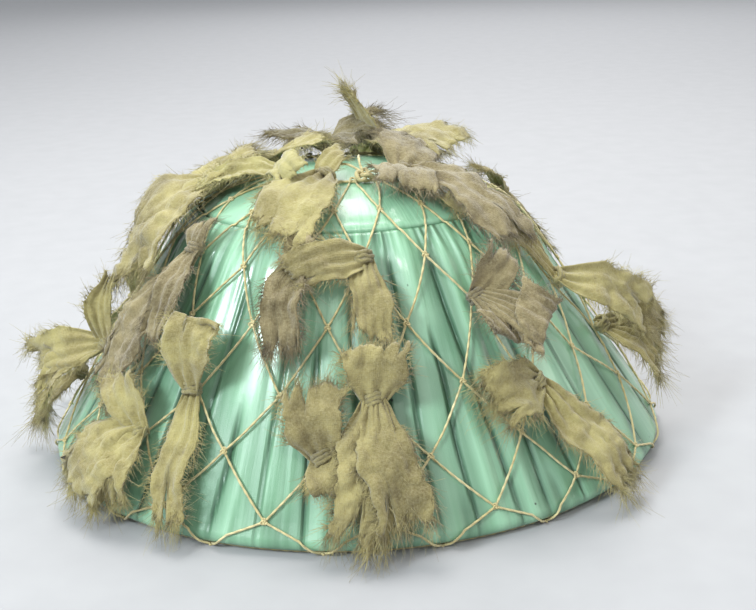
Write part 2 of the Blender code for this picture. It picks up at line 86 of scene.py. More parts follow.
# %% The outline, for one slope or an array of them
class Outline:
    """The body's outer outline: crown arc, shoulder arc, straight flare and round rim."""

    def __init__(self):
        tilt = np.array((math.sin(FLARE_TILT), math.cos(FLARE_TILT)))
        self.up_flare = np.array((-math.cos(FLARE_TILT), math.sin(FLARE_TILT)))
        self.rim_centre = np.array((RIM_RADIUS, RIM_Z))
        self.crown_centre = np.array((0.0, BODY_TOP - CROWN_RADIUS))
        reach = self.rim_centre + (RIM_HALF - SHOULDER_RADIUS) * tilt - self.crown_centre
        half = reach @ self.up_flare
        inner = CROWN_RADIUS - SHOULDER_RADIUS
        flare = -half + math.sqrt(half * half - reach @ reach + inner * inner)
        self.shoulder_centre = self.crown_centre + reach + flare * self.up_flare
        to_shoulder = self.shoulder_centre - self.crown_centre
        self.crown_tilt = math.atan2(*to_shoulder)
        self.flare_top = self.shoulder_centre + SHOULDER_RADIUS * tilt
        self.crown_end = CROWN_RADIUS * self.crown_tilt
        self.shoulder_end = self.crown_end + SHOULDER_RADIUS * (FLARE_TILT - self.crown_tilt)
        self.flare_end = self.shoulder_end + flare
        self.rim_end = self.flare_end + math.pi * RIM_HALF

    def at(self, slope):
        """Radius, height and tilt of the face."""
        slope = np.asarray(slope, float)
        flare = np.clip(slope, self.shoulder_end, self.flare_end) - self.shoulder_end
        past = np.maximum(slope - self.rim_end, 0.0)
        parts = [slope < self.crown_end, slope < self.shoulder_end, slope < self.flare_end]
        tilt = np.select(
            parts,
            [
                slope / CROWN_RADIUS,
                self.crown_tilt + (slope - self.crown_end) / SHOULDER_RADIUS,
                np.full_like(slope, FLARE_TILT),
            ],
            FLARE_TILT + (np.minimum(slope, self.rim_end) - self.flare_end) / RIM_HALF,
        )
        arcs = []
        for centre, radius in (
            (self.crown_centre, CROWN_RADIUS),
            (self.shoulder_centre, SHOULDER_RADIUS),
            (self.rim_centre, RIM_HALF),
        ):
            arcs.append((centre[0] + radius * np.sin(tilt), centre[1] + radius * np.cos(tilt)))
        found = []
        for axis in (0, 1):
            straight = self.flare_top[axis] - flare * self.up_flare[axis]
            rim = arcs[2][axis] + past * self.up_flare[axis]
            found.append(np.select(parts, [arcs[0][axis], arcs[1][axis], straight], rim))
        return found[0], found[1], tilt


OUTLINE = Outline()
print(f"slope to the rim {OUTLINE.flare_end * 1000:.1f} mm, round it {OUTLINE.rim_end * 1000:.1f} mm")


# %% Points on the surface
def unit(vectors):
    return vectors / np.maximum(np.linalg.norm(vectors, axis=-1, keepdims=True), 1e-12)


def smooth(share):
    share = np.clip(share, 0.0, 1.0)
    return share * share * (3 - 2 * share)


def surface(turn, slope, lift=0.0):
    """Points at turns, slopes and lifts."""
    turn, slope, lift = np.broadcast_arrays(np.asarray(turn, float), slope, lift)
    radius, height, tilt = OUTLINE.at(slope)
    place = np.stack([radius * np.sin(turn), -OVAL * radius * np.cos(turn), height], -1)
    normal = np.stack(
        [OVAL * np.sin(tilt) * np.sin(turn), -np.sin(tilt) * np.cos(turn), OVAL * np.cos(tilt)], -1
    )
    return place + lift[..., None] * unit(normal)


def axes(turn, slope):
    """Unit vectors down the slope, round the helmet and out of its face."""
    step = 1e-5
    down = unit(surface(turn, slope + step) - surface(turn, slope - step))
    along = unit(surface(turn + step, slope) - surface(turn - step, slope))
    return down, along, unit(np.cross(down, along))


# %% [markdown]
# ## Smooth random numbers
# Cloth is never regular. This noise blends random values on a lattice, the way a shader's noise does,
# but it can close on itself round the helmet, and its seed makes it the same on every run.

# %% Noise
def noise(x, y, seed, wrap=64):
    """Smooth random numbers from -1 to 1, a new one per unit of x and y; x closes after wrap units."""
    lattice = np.random.default_rng(seed).uniform(-1, 1, (wrap, 64))
    x, y = np.broadcast_arrays(np.asarray(x, float), y)
    i, j = np.floor(x).astype(int), np.floor(y).astype(int)
    u, v = smooth(x - i), smooth(y - j)
    near = lattice[i % wrap, j % 64] * (1 - u) + lattice[(i + 1) % wrap, j % 64] * u
    far = lattice[i % wrap, (j + 1) % 64] * (1 - u) + lattice[(i + 1) % wrap, (j + 1) % 64] * u
    return near * (1 - v) + far * v


# %% [markdown]
# ## Meshes from grids and tubes
# Folded cloth and twisted cord have no primitive that is near their shape, so they are made in mesh
# code: cloth as a grid of points with a wall from Solidify, cord as rings of points along a path.
# Both are gathered in one list before the mesh is made, and each keeps its own UV map in metres, so that
# a weave or a twist in the material can follow the cloth or the cord.

# %% A list of grids
class Patches:
    """Grids of points, gathered into one mesh."""

    def __init__(self):
        self.points = []
        self.faces = []
        self.uvs = []
        self.count = 0

    def grid(self, points, u, v, closed=False):
        """Rows run down, columns run along; u and v are the UV of each column line and row line."""
        rows, columns = points.shape[:2]
        spans = columns if closed else columns - 1
        row, column = np.meshgrid(np.arange(rows - 1), np.arange(spans), indexing="ij")
        corners = [(row, column), (row + 1, column), (row + 1, column + 1), (row, column + 1)]
        numbers = [self.count + r * columns + c % columns for r, c in corners]
        self.faces.append(np.stack(numbers, -1).reshape(-1, 4))
        u, v = np.asarray(u), np.asarray(v)
        self.uvs.append(np.stack([np.stack([u[c], v[r]], -1) for r, c in corners], 2).reshape(-1, 2))
        self.points.append(points.reshape(-1, 3))
        self.count += rows * columns

    def rings(self, rings, length):
        """A stack of closed rings, shaped (ring, side, 3), with its ends closed by quads to a middle."""
        sides = rings.shape[1]
        first = np.repeat(rings[0].mean(0)[None], sides, 0)
        last = np.repeat(rings[-1].mean(0)[None], sides, 0)
        stack = np.concatenate([first[None], rings, last[None]])
        v = np.concatenate([[0.0], np.linspace(0, length, len(rings)), [length]])
        self.grid(stack, np.arange(sides + 1) / sides, v, closed=True)

    def make(self, name):
        mesh = bpy.data.meshes.new(name)
        faces = np.concatenate(self.faces)
        mesh.from_pydata(np.concatenate(self.points).tolist(), [], faces.tolist())
        layer = mesh.uv_layers.new(name="UVMap")
        layer.data.foreach_set("uv", np.concatenate(self.uvs).astype(np.float32).ravel())
        made = bpy.data.objects.new(name, mesh)
        bpy.context.scene.collection.objects.link(made)
        return made


# %% Finish a mesh with the editor's own tools
def select_only(piece):
    bpy.ops.object.select_all(action="DESELECT")
    piece.select_set(True)
    bpy.context.view_layer.objects.active = piece


def weld(piece):
    """Merge the doubles that closed ends leave, and drop the faces that they flatten."""
    select_only(piece)
    bpy.ops.object.mode_set(mode="EDIT")
    bpy.ops.mesh.select_all(action="SELECT")
    bpy.ops.mesh.remove_doubles(threshold=1e-7)
    bpy.ops.object.mode_set(mode="OBJECT")


def press_on_table(piece):
    """Flatten what would pass under the table; the helmet's weight does the same."""
    points = np.zeros(len(piece.data.vertices) * 3, np.float32)
    piece.data.vertices.foreach_get("co", points)
    points[2::3] = np.maximum(points[2::3], 0.0)
    piece.data.vertices.foreach_set("co", points)


def give_wall(piece, wall, offset):
    """Thickness for a sheet of cloth; -1 grows it inwards, 0 both ways."""
    select_only(piece)
    solidify = piece.modifiers.new("Wall", "SOLIDIFY")
    solidify.thickness = wall
    solidify.offset = offset
    bpy.ops.object.modifier_apply(modifier=solidify.name)


def finish_piece(piece, material, slot, *nodes):
    """Smooth shading, a material, and the piece's place in the frame."""
    piece.data.materials.append(material)
    select_only(piece)
    bpy.ops.object.shade_smooth()
    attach(piece, "root")
    if nodes:
        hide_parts(*nodes)
    print(f"{piece.name}: {len(piece.data.polygons)} faces")
    return piece


# %% [markdown]
# ## Shader maths as plain sums
# A procedural material soon needs a dozen Math nodes. Here a small class wraps a socket, so that
# `1 - mask * 0.5` adds the nodes by itself, and one method adds any other node with its settings first
# and its sockets after.

# %% Sockets that add up
class Wire:
    """An output socket. A sum written with it adds a Math node."""

    def __init__(self, finish, socket):
        self.finish = finish
        self.socket = socket

    def math(self, operation, a, b=0.0, clamp=False):
        settings = {"operation": operation, "use_clamp": clamp}
        return self.finish.node("ShaderNodeMath", settings, {0: a, 1: b})

    def __add__(self, other):
        return self.math("ADD", self, other)

    def __radd__(self, other):
        return self.math("ADD", other, self)

    def __sub__(self, other):
        return self.math("SUBTRACT", self, other)

    def __rsub__(self, other):
        return self.math("SUBTRACT", other, self)

    def __mul__(self, other):
        return self.math("MULTIPLY", self, other)

    def __rmul__(self, other):
        return self.math("MULTIPLY", other, self)

    def above(self, low, high):
        """0 below low, 1 above high."""
        return self.math("MULTIPLY", self - low, 1 / (high - low), clamp=True)

    def sine(self):
        return self.math("SINE", self)


# %% A material being wired
class Finish:
    """A new material: node() adds a node, and set() gives the Principled BSDF a value or a wire."""

    def __init__(self, name):
        self.material = bpy.data.materials.new(name)
        self.material.use_nodes = True
        self.tree = self.material.node_tree
        self.principled = self.tree.nodes["Principled BSDF"]

    def plug(self, socket, value):
        if isinstance(value, Wire):
            self.tree.links.new(value.socket, socket)
        elif socket.type == "RGBA" and len(value) == 3:
            socket.default_value = (*value, 1.0)
        else:
            socket.default_value = value

    def node(self, kind, settings=None, sockets=None, output=0):
        made = self.tree.nodes.new(kind)
        for key, value in (settings or {}).items():
            setattr(made, key, value)
        for key, value in (sockets or {}).items():
            self.plug(made.inputs[key], value)
        return Wire(self, made.outputs[output])

    def set(self, **values):
        for key, value in values.items():
            self.plug(self.principled.inputs[key.replace("_", " ")], value)

    def mix(self, factor, a, b):
        settings = {"data_type": "RGBA", "clamp_factor": True}
        return self.node("ShaderNodeMix", settings, {0: factor, 6: a, 7: b}, output=2)

    def coordinate(self, kind, scale=(1, 1, 1)):
        source = self.node("ShaderNodeTexCoord", output=kind)
        return self.node("ShaderNodeMapping", {}, {"Vector": source, "Scale": scale})

    def noise(self, where, scale, detail=2.0, roughness=0.5):
        sockets = {"Vector": where, "Scale": scale, "Detail": detail, "Roughness": roughness}
        return self.node("ShaderNodeTexNoise", {}, sockets)

    def bump(self, height, distance, strength):
        sockets = {"Height": height, "Distance": distance, "Strength": strength}
        return self.node("ShaderNodeBump", {}, sockets)

    def attribute(self, name):
        return self.node("ShaderNodeAttribute", {"attribute_name": name}, output="Fac")

    def split_xy(self, vector):
        """Wires for the X and the Y of a vector."""
        x = self.node("ShaderNodeSeparateXYZ", {}, {0: vector})
        return x, Wire(self, x.socket.node.outputs["Y"])


# %% [markdown]
# ## Camera, floor and light
# The camera stands where the photographer's did: a little above the helmet and in front of it, with a
# slight roll. The floor is a plain pale sheet. The light is soft, from large lamps above the helmet and
# round the camera's side of it, so that the shiny cover shows long quiet highlights. One more lamp
# behind the helmet lights the floor there.

# %% Camera
CAMERA_TARGET = Vector((0.0, 0.0, 0.07))
CAMERA_DISTANCE = 0.6172
CAMERA_RISE = math.radians(19.62)
CAMERA_ROLL = math.radians(-1.92)
CAMERA_SHIFT = 0.0138
CAMERA_LENS = 52.4
SENSOR_WIDTH = 36.0


def add_camera():
    forward = Vector((0, math.cos(CAMERA_RISE), -math.sin(CAMERA_RISE)))
    right = Vector((1, 0, 0))
    up = right.cross(forward)
    turned_right = math.cos(CAMERA_ROLL) * right + math.sin(CAMERA_ROLL) * up
    turned_up = math.cos(CAMERA_ROLL) * up - math.sin(CAMERA_ROLL) * right
    place = CAMERA_TARGET - CAMERA_DISTANCE * forward + CAMERA_SHIFT * right
    data = bpy.data.cameras.new("camera")
    data.lens = CAMERA_LENS
    data.sensor_width = SENSOR_WIDTH
    camera = bpy.data.objects.new("camera", data)
    bpy.context.scene.collection.objects.link(camera)
    rows = Matrix((turned_right, turned_up, -forward)).transposed().to_4x4()
    camera.matrix_world = Matrix.Translation(place) @ rows
    bpy.context.scene.camera = camera
    return camera


camera = add_camera()
print("camera at", [round(x, 3) for x in camera.location])

# %% Floor
FLOOR_SIZE = 14.0


def add_floor():
    bpy.ops.mesh.primitive_plane_add(size=FLOOR_SIZE)
    floor = bpy.context.object
    floor.name = "floor"
    finish = Finish("pale_floor")
    grain = finish.noise(finish.coordinate("Object"), 40.0)
    finish.set(Base_Color=finish.mix(grain, (0.33, 0.33, 0.34), (0.37, 0.37, 0.38)), Roughness=0.75)
    floor.data.materials.append(finish.material)


add_floor()

# %% Lamps
WORLD_LIGHT = 0.85
LAMPS = {
    # name: (place, size, power, colour)
    "overhead": ((-0.15, 0.45, 1.60), 0.8, 23.0, (1.0, 0.99, 0.97)),
    "window_left": ((-1.15, -1.05, 1.25), 0.40, 32.0, (0.86, 0.96, 1.0)),
    "front": ((0.25, -1.50, 1.75), 0.35, 10.0, (1.0, 0.98, 0.92)),
    "right": ((1.70, -0.20, 0.80), 0.6, 3.5, (1.0, 0.95, 0.86)),
    "backdrop": ((0.30, 2.40, 1.70), 1.8, 34.0, (1.0, 1.0, 1.0)),
}


def add_lamps():
    for name, (place, size, power, colour) in LAMPS.items():
        data = bpy.data.lights.new(name, "AREA")
        data.size = size
        data.energy = power
        data.color = colour
        lamp = bpy.data.objects.new(name, data)
        lamp.location = place
        lamp.rotation_euler = (CAMERA_TARGET - lamp.location).to_track_quat("-Z", "Y").to_euler()
        bpy.context.scene.collection.objects.link(lamp)
    world = bpy.data.worlds.new("pale_room")
    world.use_nodes = True
    world.node_tree.nodes["Background"].inputs["Color"].default_value = (0.80, 0.83, 0.86, 1.0)
    world.node_tree.nodes["Background"].inputs["Strength"].default_value = WORLD_LIGHT
    bpy.context.scene.world = world
    bpy.context.scene.view_settings.view_transform = "Standard"
    print("lamps:", ", ".join(LAMPS))


add_lamps()

# %% [markdown]
# ## The pith body
# Only its inside and the edge under the rim can be seen. Its shape is right as packed, so it stays, and
# gets a cork-like finish: pale cells, darker pits, and a dry rough face.

# %% Pith
def pith_finish():
    finish = Finish("pith")
    where = finish.coordinate("Object")
    cells = finish.node("ShaderNodeTexVoronoi", {}, {"Vector": where, "Scale": 420.0}, output="Distance")
    cloud = finish.noise(where, 30.0, 4.0)
    pale = finish.mix(cloud, (0.36, 0.27, 0.15), (0.52, 0.41, 0.26))
    finish.set(
        Base_Color=finish.mix(cells.above(0.55, 0.8), pale, (0.24, 0.17, 0.09)),
        Roughness=0.9,
        Normal=finish.bump(cells * -1.0 + cloud, 0.0006, 0.7),
    )
    return finish.material


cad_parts["helmet_body"].data.materials.clear()
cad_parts["helmet_body"].data.materials.append(pith_finish())

# %% [markdown]
# ## The green cover
# The cover is thin glazed cotton. Its side is cut fuller than the helmet, gathered into the top seam and
# pulled down under the rim, so it hangs in flat bands with sharp creases between them. The bands could
# be drawn with a bump map alone, but the outline and the shadows would stay smooth. So each fold is a
# rule that sinks the sheet between its crests, and the net lies on the crests.
# How far the cloth can sink is the pleat room: little at the seam, most on the shoulder, and almost
# none at the rim.

# %% Room for the folds
PUFF = 0.0008  # how much the cloth bulges in the meshes of the net
PUFF_FADE = 5  # the bulge comes and goes over a fifth of the way


def part_share(slope, start, end):
    """0 where a part of the outline starts, 1 where it ends."""
    return (slope - start) / (end - start)


def seam_share(slope):
    """0 at the seam, 1 at the rim."""
    return part_share(slope, SEAM_SLOPE, OUTLINE.flare_end)


def pleat_room(slope):
    slope = np.asarray(slope, float)
    upper = part_share(slope, SEAM_SLOPE, OUTLINE.shoulder_end)
    lower = part_share(slope, OUTLINE.shoulder_end, OUTLINE.flare_end)
    under = part_share(slope, OUTLINE.flare_end, OUTLINE.rim_end)
    room = np.select(
        [slope < SEAM_SLOPE, slope < OUTLINE.shoulder_end, slope < OUTLINE.flare_end],
        [
            0.0,
            PLEAT_DEPTH * (SEAM_PLEAT + (1 - SEAM_PLEAT) * upper),
            PLEAT_DEPTH + (RIM_PLEAT - PLEAT_DEPTH) * lower,
        ],
        RIM_PLEAT * np.maximum(0.0, 1 - 2 * under),
    )
    share = seam_share(slope)
    return room + PUFF * smooth(share * PUFF_FADE) * smooth((1 - share) * PUFF_FADE)


def cover_face(slope):
    """The lift of the cover's crests."""
    under = part_share(slope, OUTLINE.flare_end, OUTLINE.rim_end)
    return GAP + (HEM_GAP - GAP) * smooth(under) + COVER_WALL + pleat_room(slope)


# %% The folds
BAND_TURNS = 40  # bands of cloth round the helmet
BAND_JITTER = 0.33  # how far a band's edge strays, as a share of its width
BAND_DRIFT = 1.6  # degrees that an edge wanders on its way down
BAND_DEPTHS = (0.25, 0.8)
BAND_POWER = 1.6  # how hollow a band's slope is
BAND_CREST = 0.86  # where a band turns down to its edge
BAND_PART = 0.75
CREASE_WIDTH = 0.55  # degrees
CREASE_SWAY = 0.5  # degrees
CREASE_FLARE = 1.4  # how much wider a crease is at the seam
CREASE_POWER = 1.3
HOLLOW_DEPTH = 0.38
HOLLOW_WIDTH = 4  # in widths of the crease
GATHERS = 112  # small folds under the seam
GATHER_DEPTH = 0.65
PINCH_DEPTH = 0.6
DEEP_CREASES = (
    # turn at the rim in degrees, drift towards the seam, depth, share of the way down where it starts
    (-68.0, -1.0, 1.0, 0.10),
    (-58.0, 2.0, 0.9, 0.25),
    (-47.0, 1.5, 0.9, 0.05),
    (-39.0, 2.5, 1.0, 0.35),
    (-31.0, 3.0, 0.8, 0.15),
    (-24.0, 2.0, 0.9, 0.55),
    (-16.0, 2.5, 0.7, 0.10),
    (-8.5, 1.0, 0.9, 0.30),
    (1.0, -1.0, 0.8, 0.10),
    (8.0, -1.5, 1.0, 0.20),
    (13.5, -2.0, 0.9, 0.02),
    (20.0, -1.0, 1.0, 0.30),
    (27.5, -2.5, 1.0, 0.02),
    (33.5, -1.0, 0.9, 0.40),
    (41.0, -2.0, 0.9, 0.20),
    (52.0, -1.5, 0.8, 0.10),
    (64.0, -1.0, 0.9, 0.30),
    (77.0, -1.0, 0.9, 0.15),
    (93.0, 1.0, 0.9, 0.20),
    (109.0, -2.0, 1.0, 0.05),
    (126.0, 1.0, 0.8, 0.30),
    (144.0, -1.0, 1.0, 0.10),
    (163.0, 2.0, 0.9, 0.20),
    (-176.0, -2.0, 1.0, 0.05),
    (-159.0, 1.0, 0.8, 0.25),
    (-141.0, -2.0, 1.0, 0.10),
    (-123.0, 1.0, 0.9, 0.30),
    (-105.0, 2.0, 1.0, 0.05),
    (-88.0, -1.0, 0.9, 0.20),
)


def angle_between(turn, middle):
    """Degrees from middle to turn, from -180 to 180."""
    return (turn - middle + 180) % 360 - 180


def bands(turn, share):
    """Flat bands that lean from crest to valley, with soft waves in them."""
    rng = np.random.default_rng(7)
    step = 360 / BAND_TURNS
    edges = (np.arange(BAND_TURNS) + rng.uniform(-BAND_JITTER, BAND_JITTER, BAND_TURNS)) * step
    depth = rng.uniform(*BAND_DEPTHS, BAND_TURNS)
    leans = rng.choice([-1, 1], BAND_TURNS)
    place = (turn + BAND_DRIFT * noise(turn / 20, share * 2, 11, wrap=18)) % 360
    ends = np.append(edges, edges[0] + 360)
    place = np.where(place < edges[0], place + 360, place)
    which = np.clip(np.searchsorted(ends, place, side="right") - 1, 0, BAND_TURNS - 1)
    across = (place - ends[which]) / (ends[which + 1] - ends[which])
    across = np.where(leans[which] > 0, across, 1 - across)
    rounded = across ** BAND_POWER * (1 - smooth((across - BAND_CREST) / (1 - BAND_CREST)))
    fade = 0.55 + 0.45 * noise(which + 0.5, share * 3, 13, wrap=BAND_TURNS)
    return depth[which] * rounded * np.clip(fade, 0.15, 1)


def creases(turn, share):
    """Sharp valleys, each in the middle of a wide soft hollow."""
    left = np.ones_like(turn * share)
    for number, (middle, drift, depth, start) in enumerate(DEEP_CREASES):
        line = middle + drift * (1 - share) + CREASE_SWAY * noise(share * 4, number, 17)
        away = np.abs(angle_between(turn, line))
        length = smooth((share - start) / 0.15) * smooth((1.12 - share) / 0.2)
        width = CREASE_WIDTH * (1.0 + CREASE_FLARE * (1 - share))
        valley = np.exp(-((away / width) ** CREASE_POWER))
        hollow = HOLLOW_DEPTH * np.exp(-((away / (HOLLOW_WIDTH * width)) ** 2))
        left = left * (1 - depth * length * np.maximum(valley, hollow))
    return 1 - left


def gathers(turn, share):
    """The small close gathers under the seam, and the pinches over the rim."""
    phase = turn * GATHERS / 360 + 0.8 * noise(turn / 10, 0.0, 19, wrap=36)
    wave = 0.5 + 0.5 * np.sin(2 * np.pi * phase)
    strength = 0.55 + 0.45 * noise(turn / 4, 0.0, 23, wrap=90)
    seam = GATHER_DEPTH * strength * wave * (1 - smooth(share / (0.10 + 0.06 * strength)))
    fine = noise(turn / 1.8, share * 1.6, 29, wrap=200) * 0.5 + 0.5
    return seam + PINCH_DEPTH * (fine ** 3 * smooth((share - 0.86) / 0.1))


def fold_sink(turn, share):
    """How far the cloth is sunk, as a share of the pleat room."""
    broad = 0.42 * (0.5 + 0.5 * noise(turn / 3.0, share * 1.1, 31, wrap=120))
    fine = 0.10 * (0.5 + 0.5 * noise(turn / 1.2, share * 2.2, 37, wrap=300)) * (1 - share)
    kept = (1 - BAND_PART * bands(turn, share)) * (1 - creases(turn, share))
    kept = kept * (1 - (broad + fine)) * (1 - np.clip(gathers(turn, share), 0, 1))
    return np.clip(1 - kept, 0, 1)


# %% Places on the cover that have worn through: a slit near the rim, and a torn patch at the left
WORN_PLACES = (
    # turn in degrees, slope, half width in degrees, half length down the slope, strength
    (37.0, 0.220, 0.55, 0.0012, 1.0),
    (-67.5, 0.128, 1.0, 0.0065, 0.85),
    (-70.0, 0.123, 0.9, 0.0040, 0.9),
    (-65.5, 0.137, 0.8, 0.0045, 0.8),
)


def worn(turn, slope):
    """1 in a worn place, 0 elsewhere, with an uneven edge."""
    found = np.zeros_like(turn * slope)
    for middle, along, half_width, half_length, strength in WORN_PLACES:
        away = (angle_between(turn, middle) / half_width) ** 2 + ((slope - along) / half_length) ** 2
        away = away * (1 + 0.5 * noise(turn * 3, slope * 900, 41))
        found = np.maximum(found, strength * (1 - smooth((away - 0.5) / 1.2)))
    return found


# %% The gathered side
SIDE_COLUMNS = 780
SEAM_ROWS = 10
FACE_ROWS = 30
RIM_ROWS = 12
HEM_ROWS = 5
SEAM_BAND = 0.014  # the rows lie close together this far below the seam
RIM_BAND = 0.004  # and from this far above the rim
TUCK_WIDTH = 0.006  # the cloth turns in at the seam
SHEET_WALL = COVER_WALL * 0.9
CLOTH_GIRTH = math.pi * HELMET_LENGTH  # length of the UV map round the helmet


def side_slopes():
    """Row lines, closer together at the seam and round the rim."""
    rim_start = OUTLINE.flare_end - RIM_BAND
    seam = SEAM_SLOPE + GAP + np.linspace(0, SEAM_BAND, SEAM_ROWS)
    face = np.linspace(seam[-1], rim_start, FACE_ROWS)[1:]
    rim = np.linspace(rim_start, OUTLINE.rim_end, RIM_ROWS)[1:]
    hem = OUTLINE.rim_end + np.linspace(0, HEM_WIDTH, HEM_ROWS)[1:]
    return np.concatenate([seam, face, rim, hem])


def round_cloth(name, turns, slopes, lift):
    """A sheet that closes round the helmet."""
    patches = Patches()
    u = np.linspace(0, CLOTH_GIRTH, turns.shape[1] + 1)
    patches.grid(surface(np.radians(turns), slopes, lift), u, slopes[:, 0], closed=True)
    return patches.make(name)


def gathered_side(material):
    slopes = side_slopes()[:, None]
    turns = np.linspace(0, 360, SIDE_COLUMNS, endpoint=False)[None, :]
    sink = fold_sink(turns, seam_share(slopes))
    tucked = smooth((TUCK_WIDTH - (slopes - SEAM_SLOPE)) / TUCK_WIDTH)
    lift = cover_face(slopes) - pleat_room(slopes) * sink * (1 - 0.5 * tucked)
    piece = round_cloth("gathered_side", turns, slopes, lift)
    for name, values in (("sunk", sink), ("worn", worn(turns, slopes))):
        layer = piece.data.attributes.new(name, "FLOAT", "POINT")
        layer.data.foreach_set("value", values.astype(np.float32).ravel())
    give_wall(piece, SHEET_WALL, -1.0)
    return finish_piece(piece, material, "green_cover", "cover_side")


# %% The flat top
TOP_COLUMNS = 220
TOP_ROWS = 26
TOP_CROWDING = 0.8  # below 1, the rows lie closer together towards the seam
TOP_LOOSENESS = 0.0004
RIPPLE_HEIGHT = 0.00045
DOME_WAVE = 0.0005
SEAM_WELT = 0.0008  # the turned-in edge makes a low ridge along the seam
WELT_WIDTH = 0.0035
WELT_SIDE = 0.0012
TURN_IN = 0.0011


def cover_top(material):
    slopes = (SEAM_SLOPE * np.linspace(0, 1, TOP_ROWS) ** TOP_CROWDING)[:, None]
    turns = np.linspace(0, 360, TOP_COLUMNS, endpoint=False)[None, :]
    waves = noise(turns / 5, slopes * 60, 43, wrap=72) + 0.5 * noise(turns / 2, 0.0, 47, wrap=180)
    ripple = RIPPLE_HEIGHT * smooth((slopes - 0.045) / 0.038) * waves
    welt = SEAM_WELT * smooth((slopes - SEAM_SLOPE + WELT_WIDTH) / WELT_SIDE)
    turned_in = TURN_IN * smooth((slopes - SEAM_SLOPE + WELT_SIDE) / WELT_SIDE)
    dome = DOME_WAVE * noise(turns / 30, slopes * 25, 53, wrap=12) * smooth(slopes / 0.03)
    lift = GAP + COVER_WALL + TOP_LOOSENESS + ripple + welt + dome - turned_in
    piece = round_cloth("cover_top", turns, slopes, lift)
    weld(piece)
    give_wall(piece, SHEET_WALL, -1.0)
    return finish_piece(piece, material, "green_cover", "cover_crown")


# %% [markdown]
# The glaze on the cloth gives it a wide soft highlight with a sharper one on top, so the material is a
# satin base with a thin clear coat. Fine streaks run down the cloth. The folds carry painted shade: the
# more the cloth is sunk, the darker its green. There are a few dark specks.

# %% Glazed cotton
FOLD_BUMP = 0.0038  # the folds look this much deeper than their geometry can go


def cover_finish():
    finish = Finish("green_cover")
    cloth = finish.coordinate("UV")
    place = finish.coordinate("Object")
    streaks = finish.noise(finish.coordinate("UV", (1, 0.06, 1)), 260.0, 3.0)
    cloud = finish.noise(place, 14.0, 3.0)
    specks = finish.node("ShaderNodeTexVoronoi", {}, {"Vector": cloth, "Scale": 55.0}, output="Distance")
    scatter = finish.noise(place, 14.0, 1.0).above(0.44, 0.50)
    sunk = finish.attribute("sunk")
    faded = finish.mix(streaks.above(0.3, 0.75), (0.160, 0.355, 0.200), (0.270, 0.500, 0.320))
    faded = finish.mix(cloud.above(0.35, 0.75), faded, (0.310, 0.540, 0.370))
    # Painted shade: where the cloth is sunk into a fold, its green is darkened almost to black.
    fold_shaded = finish.mix(sunk.above(0.30, 0.86) * 0.92, faded, (0.022, 0.085, 0.040))
    spotted = finish.mix((1 - specks.above(0.030, 0.050)) * scatter * 0.95, fold_shaded, (0.01, 0.03, 0.02))
    holes = finish.attribute("worn")
    fibre = finish.noise(cloth, 1800.0, 2.0)
    height = streaks * 0.10 + fibre * 0.03 - holes * 0.5 - sunk
    finish.set(
        Base_Color=finish.mix(holes, spotted, (0.008, 0.02, 0.018)),
        Roughness=0.30 + 0.16 * streaks,
        Normal=finish.bump(height, FOLD_BUMP, 1.0),
    )
    finish.set(Coat_Weight=0.55, Coat_Roughness=0.16, Specular_IOR_Level=0.7)
    return finish.material


green = cover_finish()
side = gathered_side(green)
top = cover_top(green)
side_width = OUTLINE.rim_end + HEM_WIDTH - SEAM_SLOPE

# %% [markdown]
# ## The net
# The net is knotted from two-ply cord. Its knots lie in rows, every other row half a column along, and
# some have been pulled out of line. Each strand runs straight from knot to knot over the crests of the
# cover. It could be a curve with a round bevel, but the twist of the two plies would be lost, so each
# strand is a tube whose section has two lobes that turn along it.

# %% Where the knots are
NET_COLUMNS = 19
NET_TURN = math.radians(4.3)
NET_CORD = 0.0016
TIGHT_CORD = 0.0013  # as thick as the net is drawn: the full cord looks too thick beside the photo
CROWN_CORD = 0.0018
CROWN_RING_SLOPE = 0.040
LOOP_TURN = math.radians(2.5)
# The net's last knots are under the rim, this far out from straight below its middle
UNDER_RIM = math.radians(4)
NET_ROWS = {
    # row: share of the slope from crown to rim
    "A": 0.290,
    "B": 0.421,
    "C": 0.562,
    "D": 0.718,
    "E": 0.832,
    "F": 0.965,
}
NET_SLIPS = {
    # (row, column): (round the helmet, as a share of a column; down it, as a share of the slope)
    ("A", 2.5): (-0.30, 0.022),
    ("A", 16.5): (0.10, 0.018),
    ("B", 17.0): (0.12, 0.019),
    ("B", 16.0): (0.15, 0.008),
    ("B", 2.0): (-0.12, -0.008),
    ("C", 1.5): (0.00, -0.030),
    ("C", 3.5): (-0.25, 0.000),
    ("D", 1.0): (0.02, -0.019),
    ("D", 2.0): (-0.15, 0.025),
    ("D", 3.0): (-0.18, -0.010),
    ("D", 4.0): (-0.30, 0.000),
    ("D", 18.0): (0.00, -0.010),
    ("E", 0.5): (0.00, 0.010),
    ("F", 3.0): (-0.05, 0.008),
    ("F", 2.0): (-0.08, -0.010),
}


def net_lift(slope):
    """The lift of the net cord's middle: it lies on the cover's crests."""
    return cover_face(slope) + 0.5 * NET_CORD + 0.3 * GAP


def column_turn(column):
    return NET_TURN + column * 2 * math.pi / NET_COLUMNS


def knot_place(row, column):
    """Turn and slope of a knot; T is the row at the crown's cord, G the one at the rim's."""
    if row == "T":
        return column_turn(column), CROWN_RING_SLOPE + CROWN_CORD / 2 + GAP + NET_CORD / 2
    if row == "G":
        return column_turn(column), OUTLINE.flare_end + (math.pi - UNDER_RIM - FLARE_TILT) * RIM_HALF
    sideways, down = NET_SLIPS.get((row, column % NET_COLUMNS), (0.0, 0.0))
    return column_turn(column + sideways), (NET_ROWS[row] + down) * OUTLINE.flare_end


# %% A twisted cord along a path
PLY_LENGTH = 0.0052
PLY_LOBE = 0.14  # how far the plies stand out, as a share of the radius
CORD_SIDES = 7


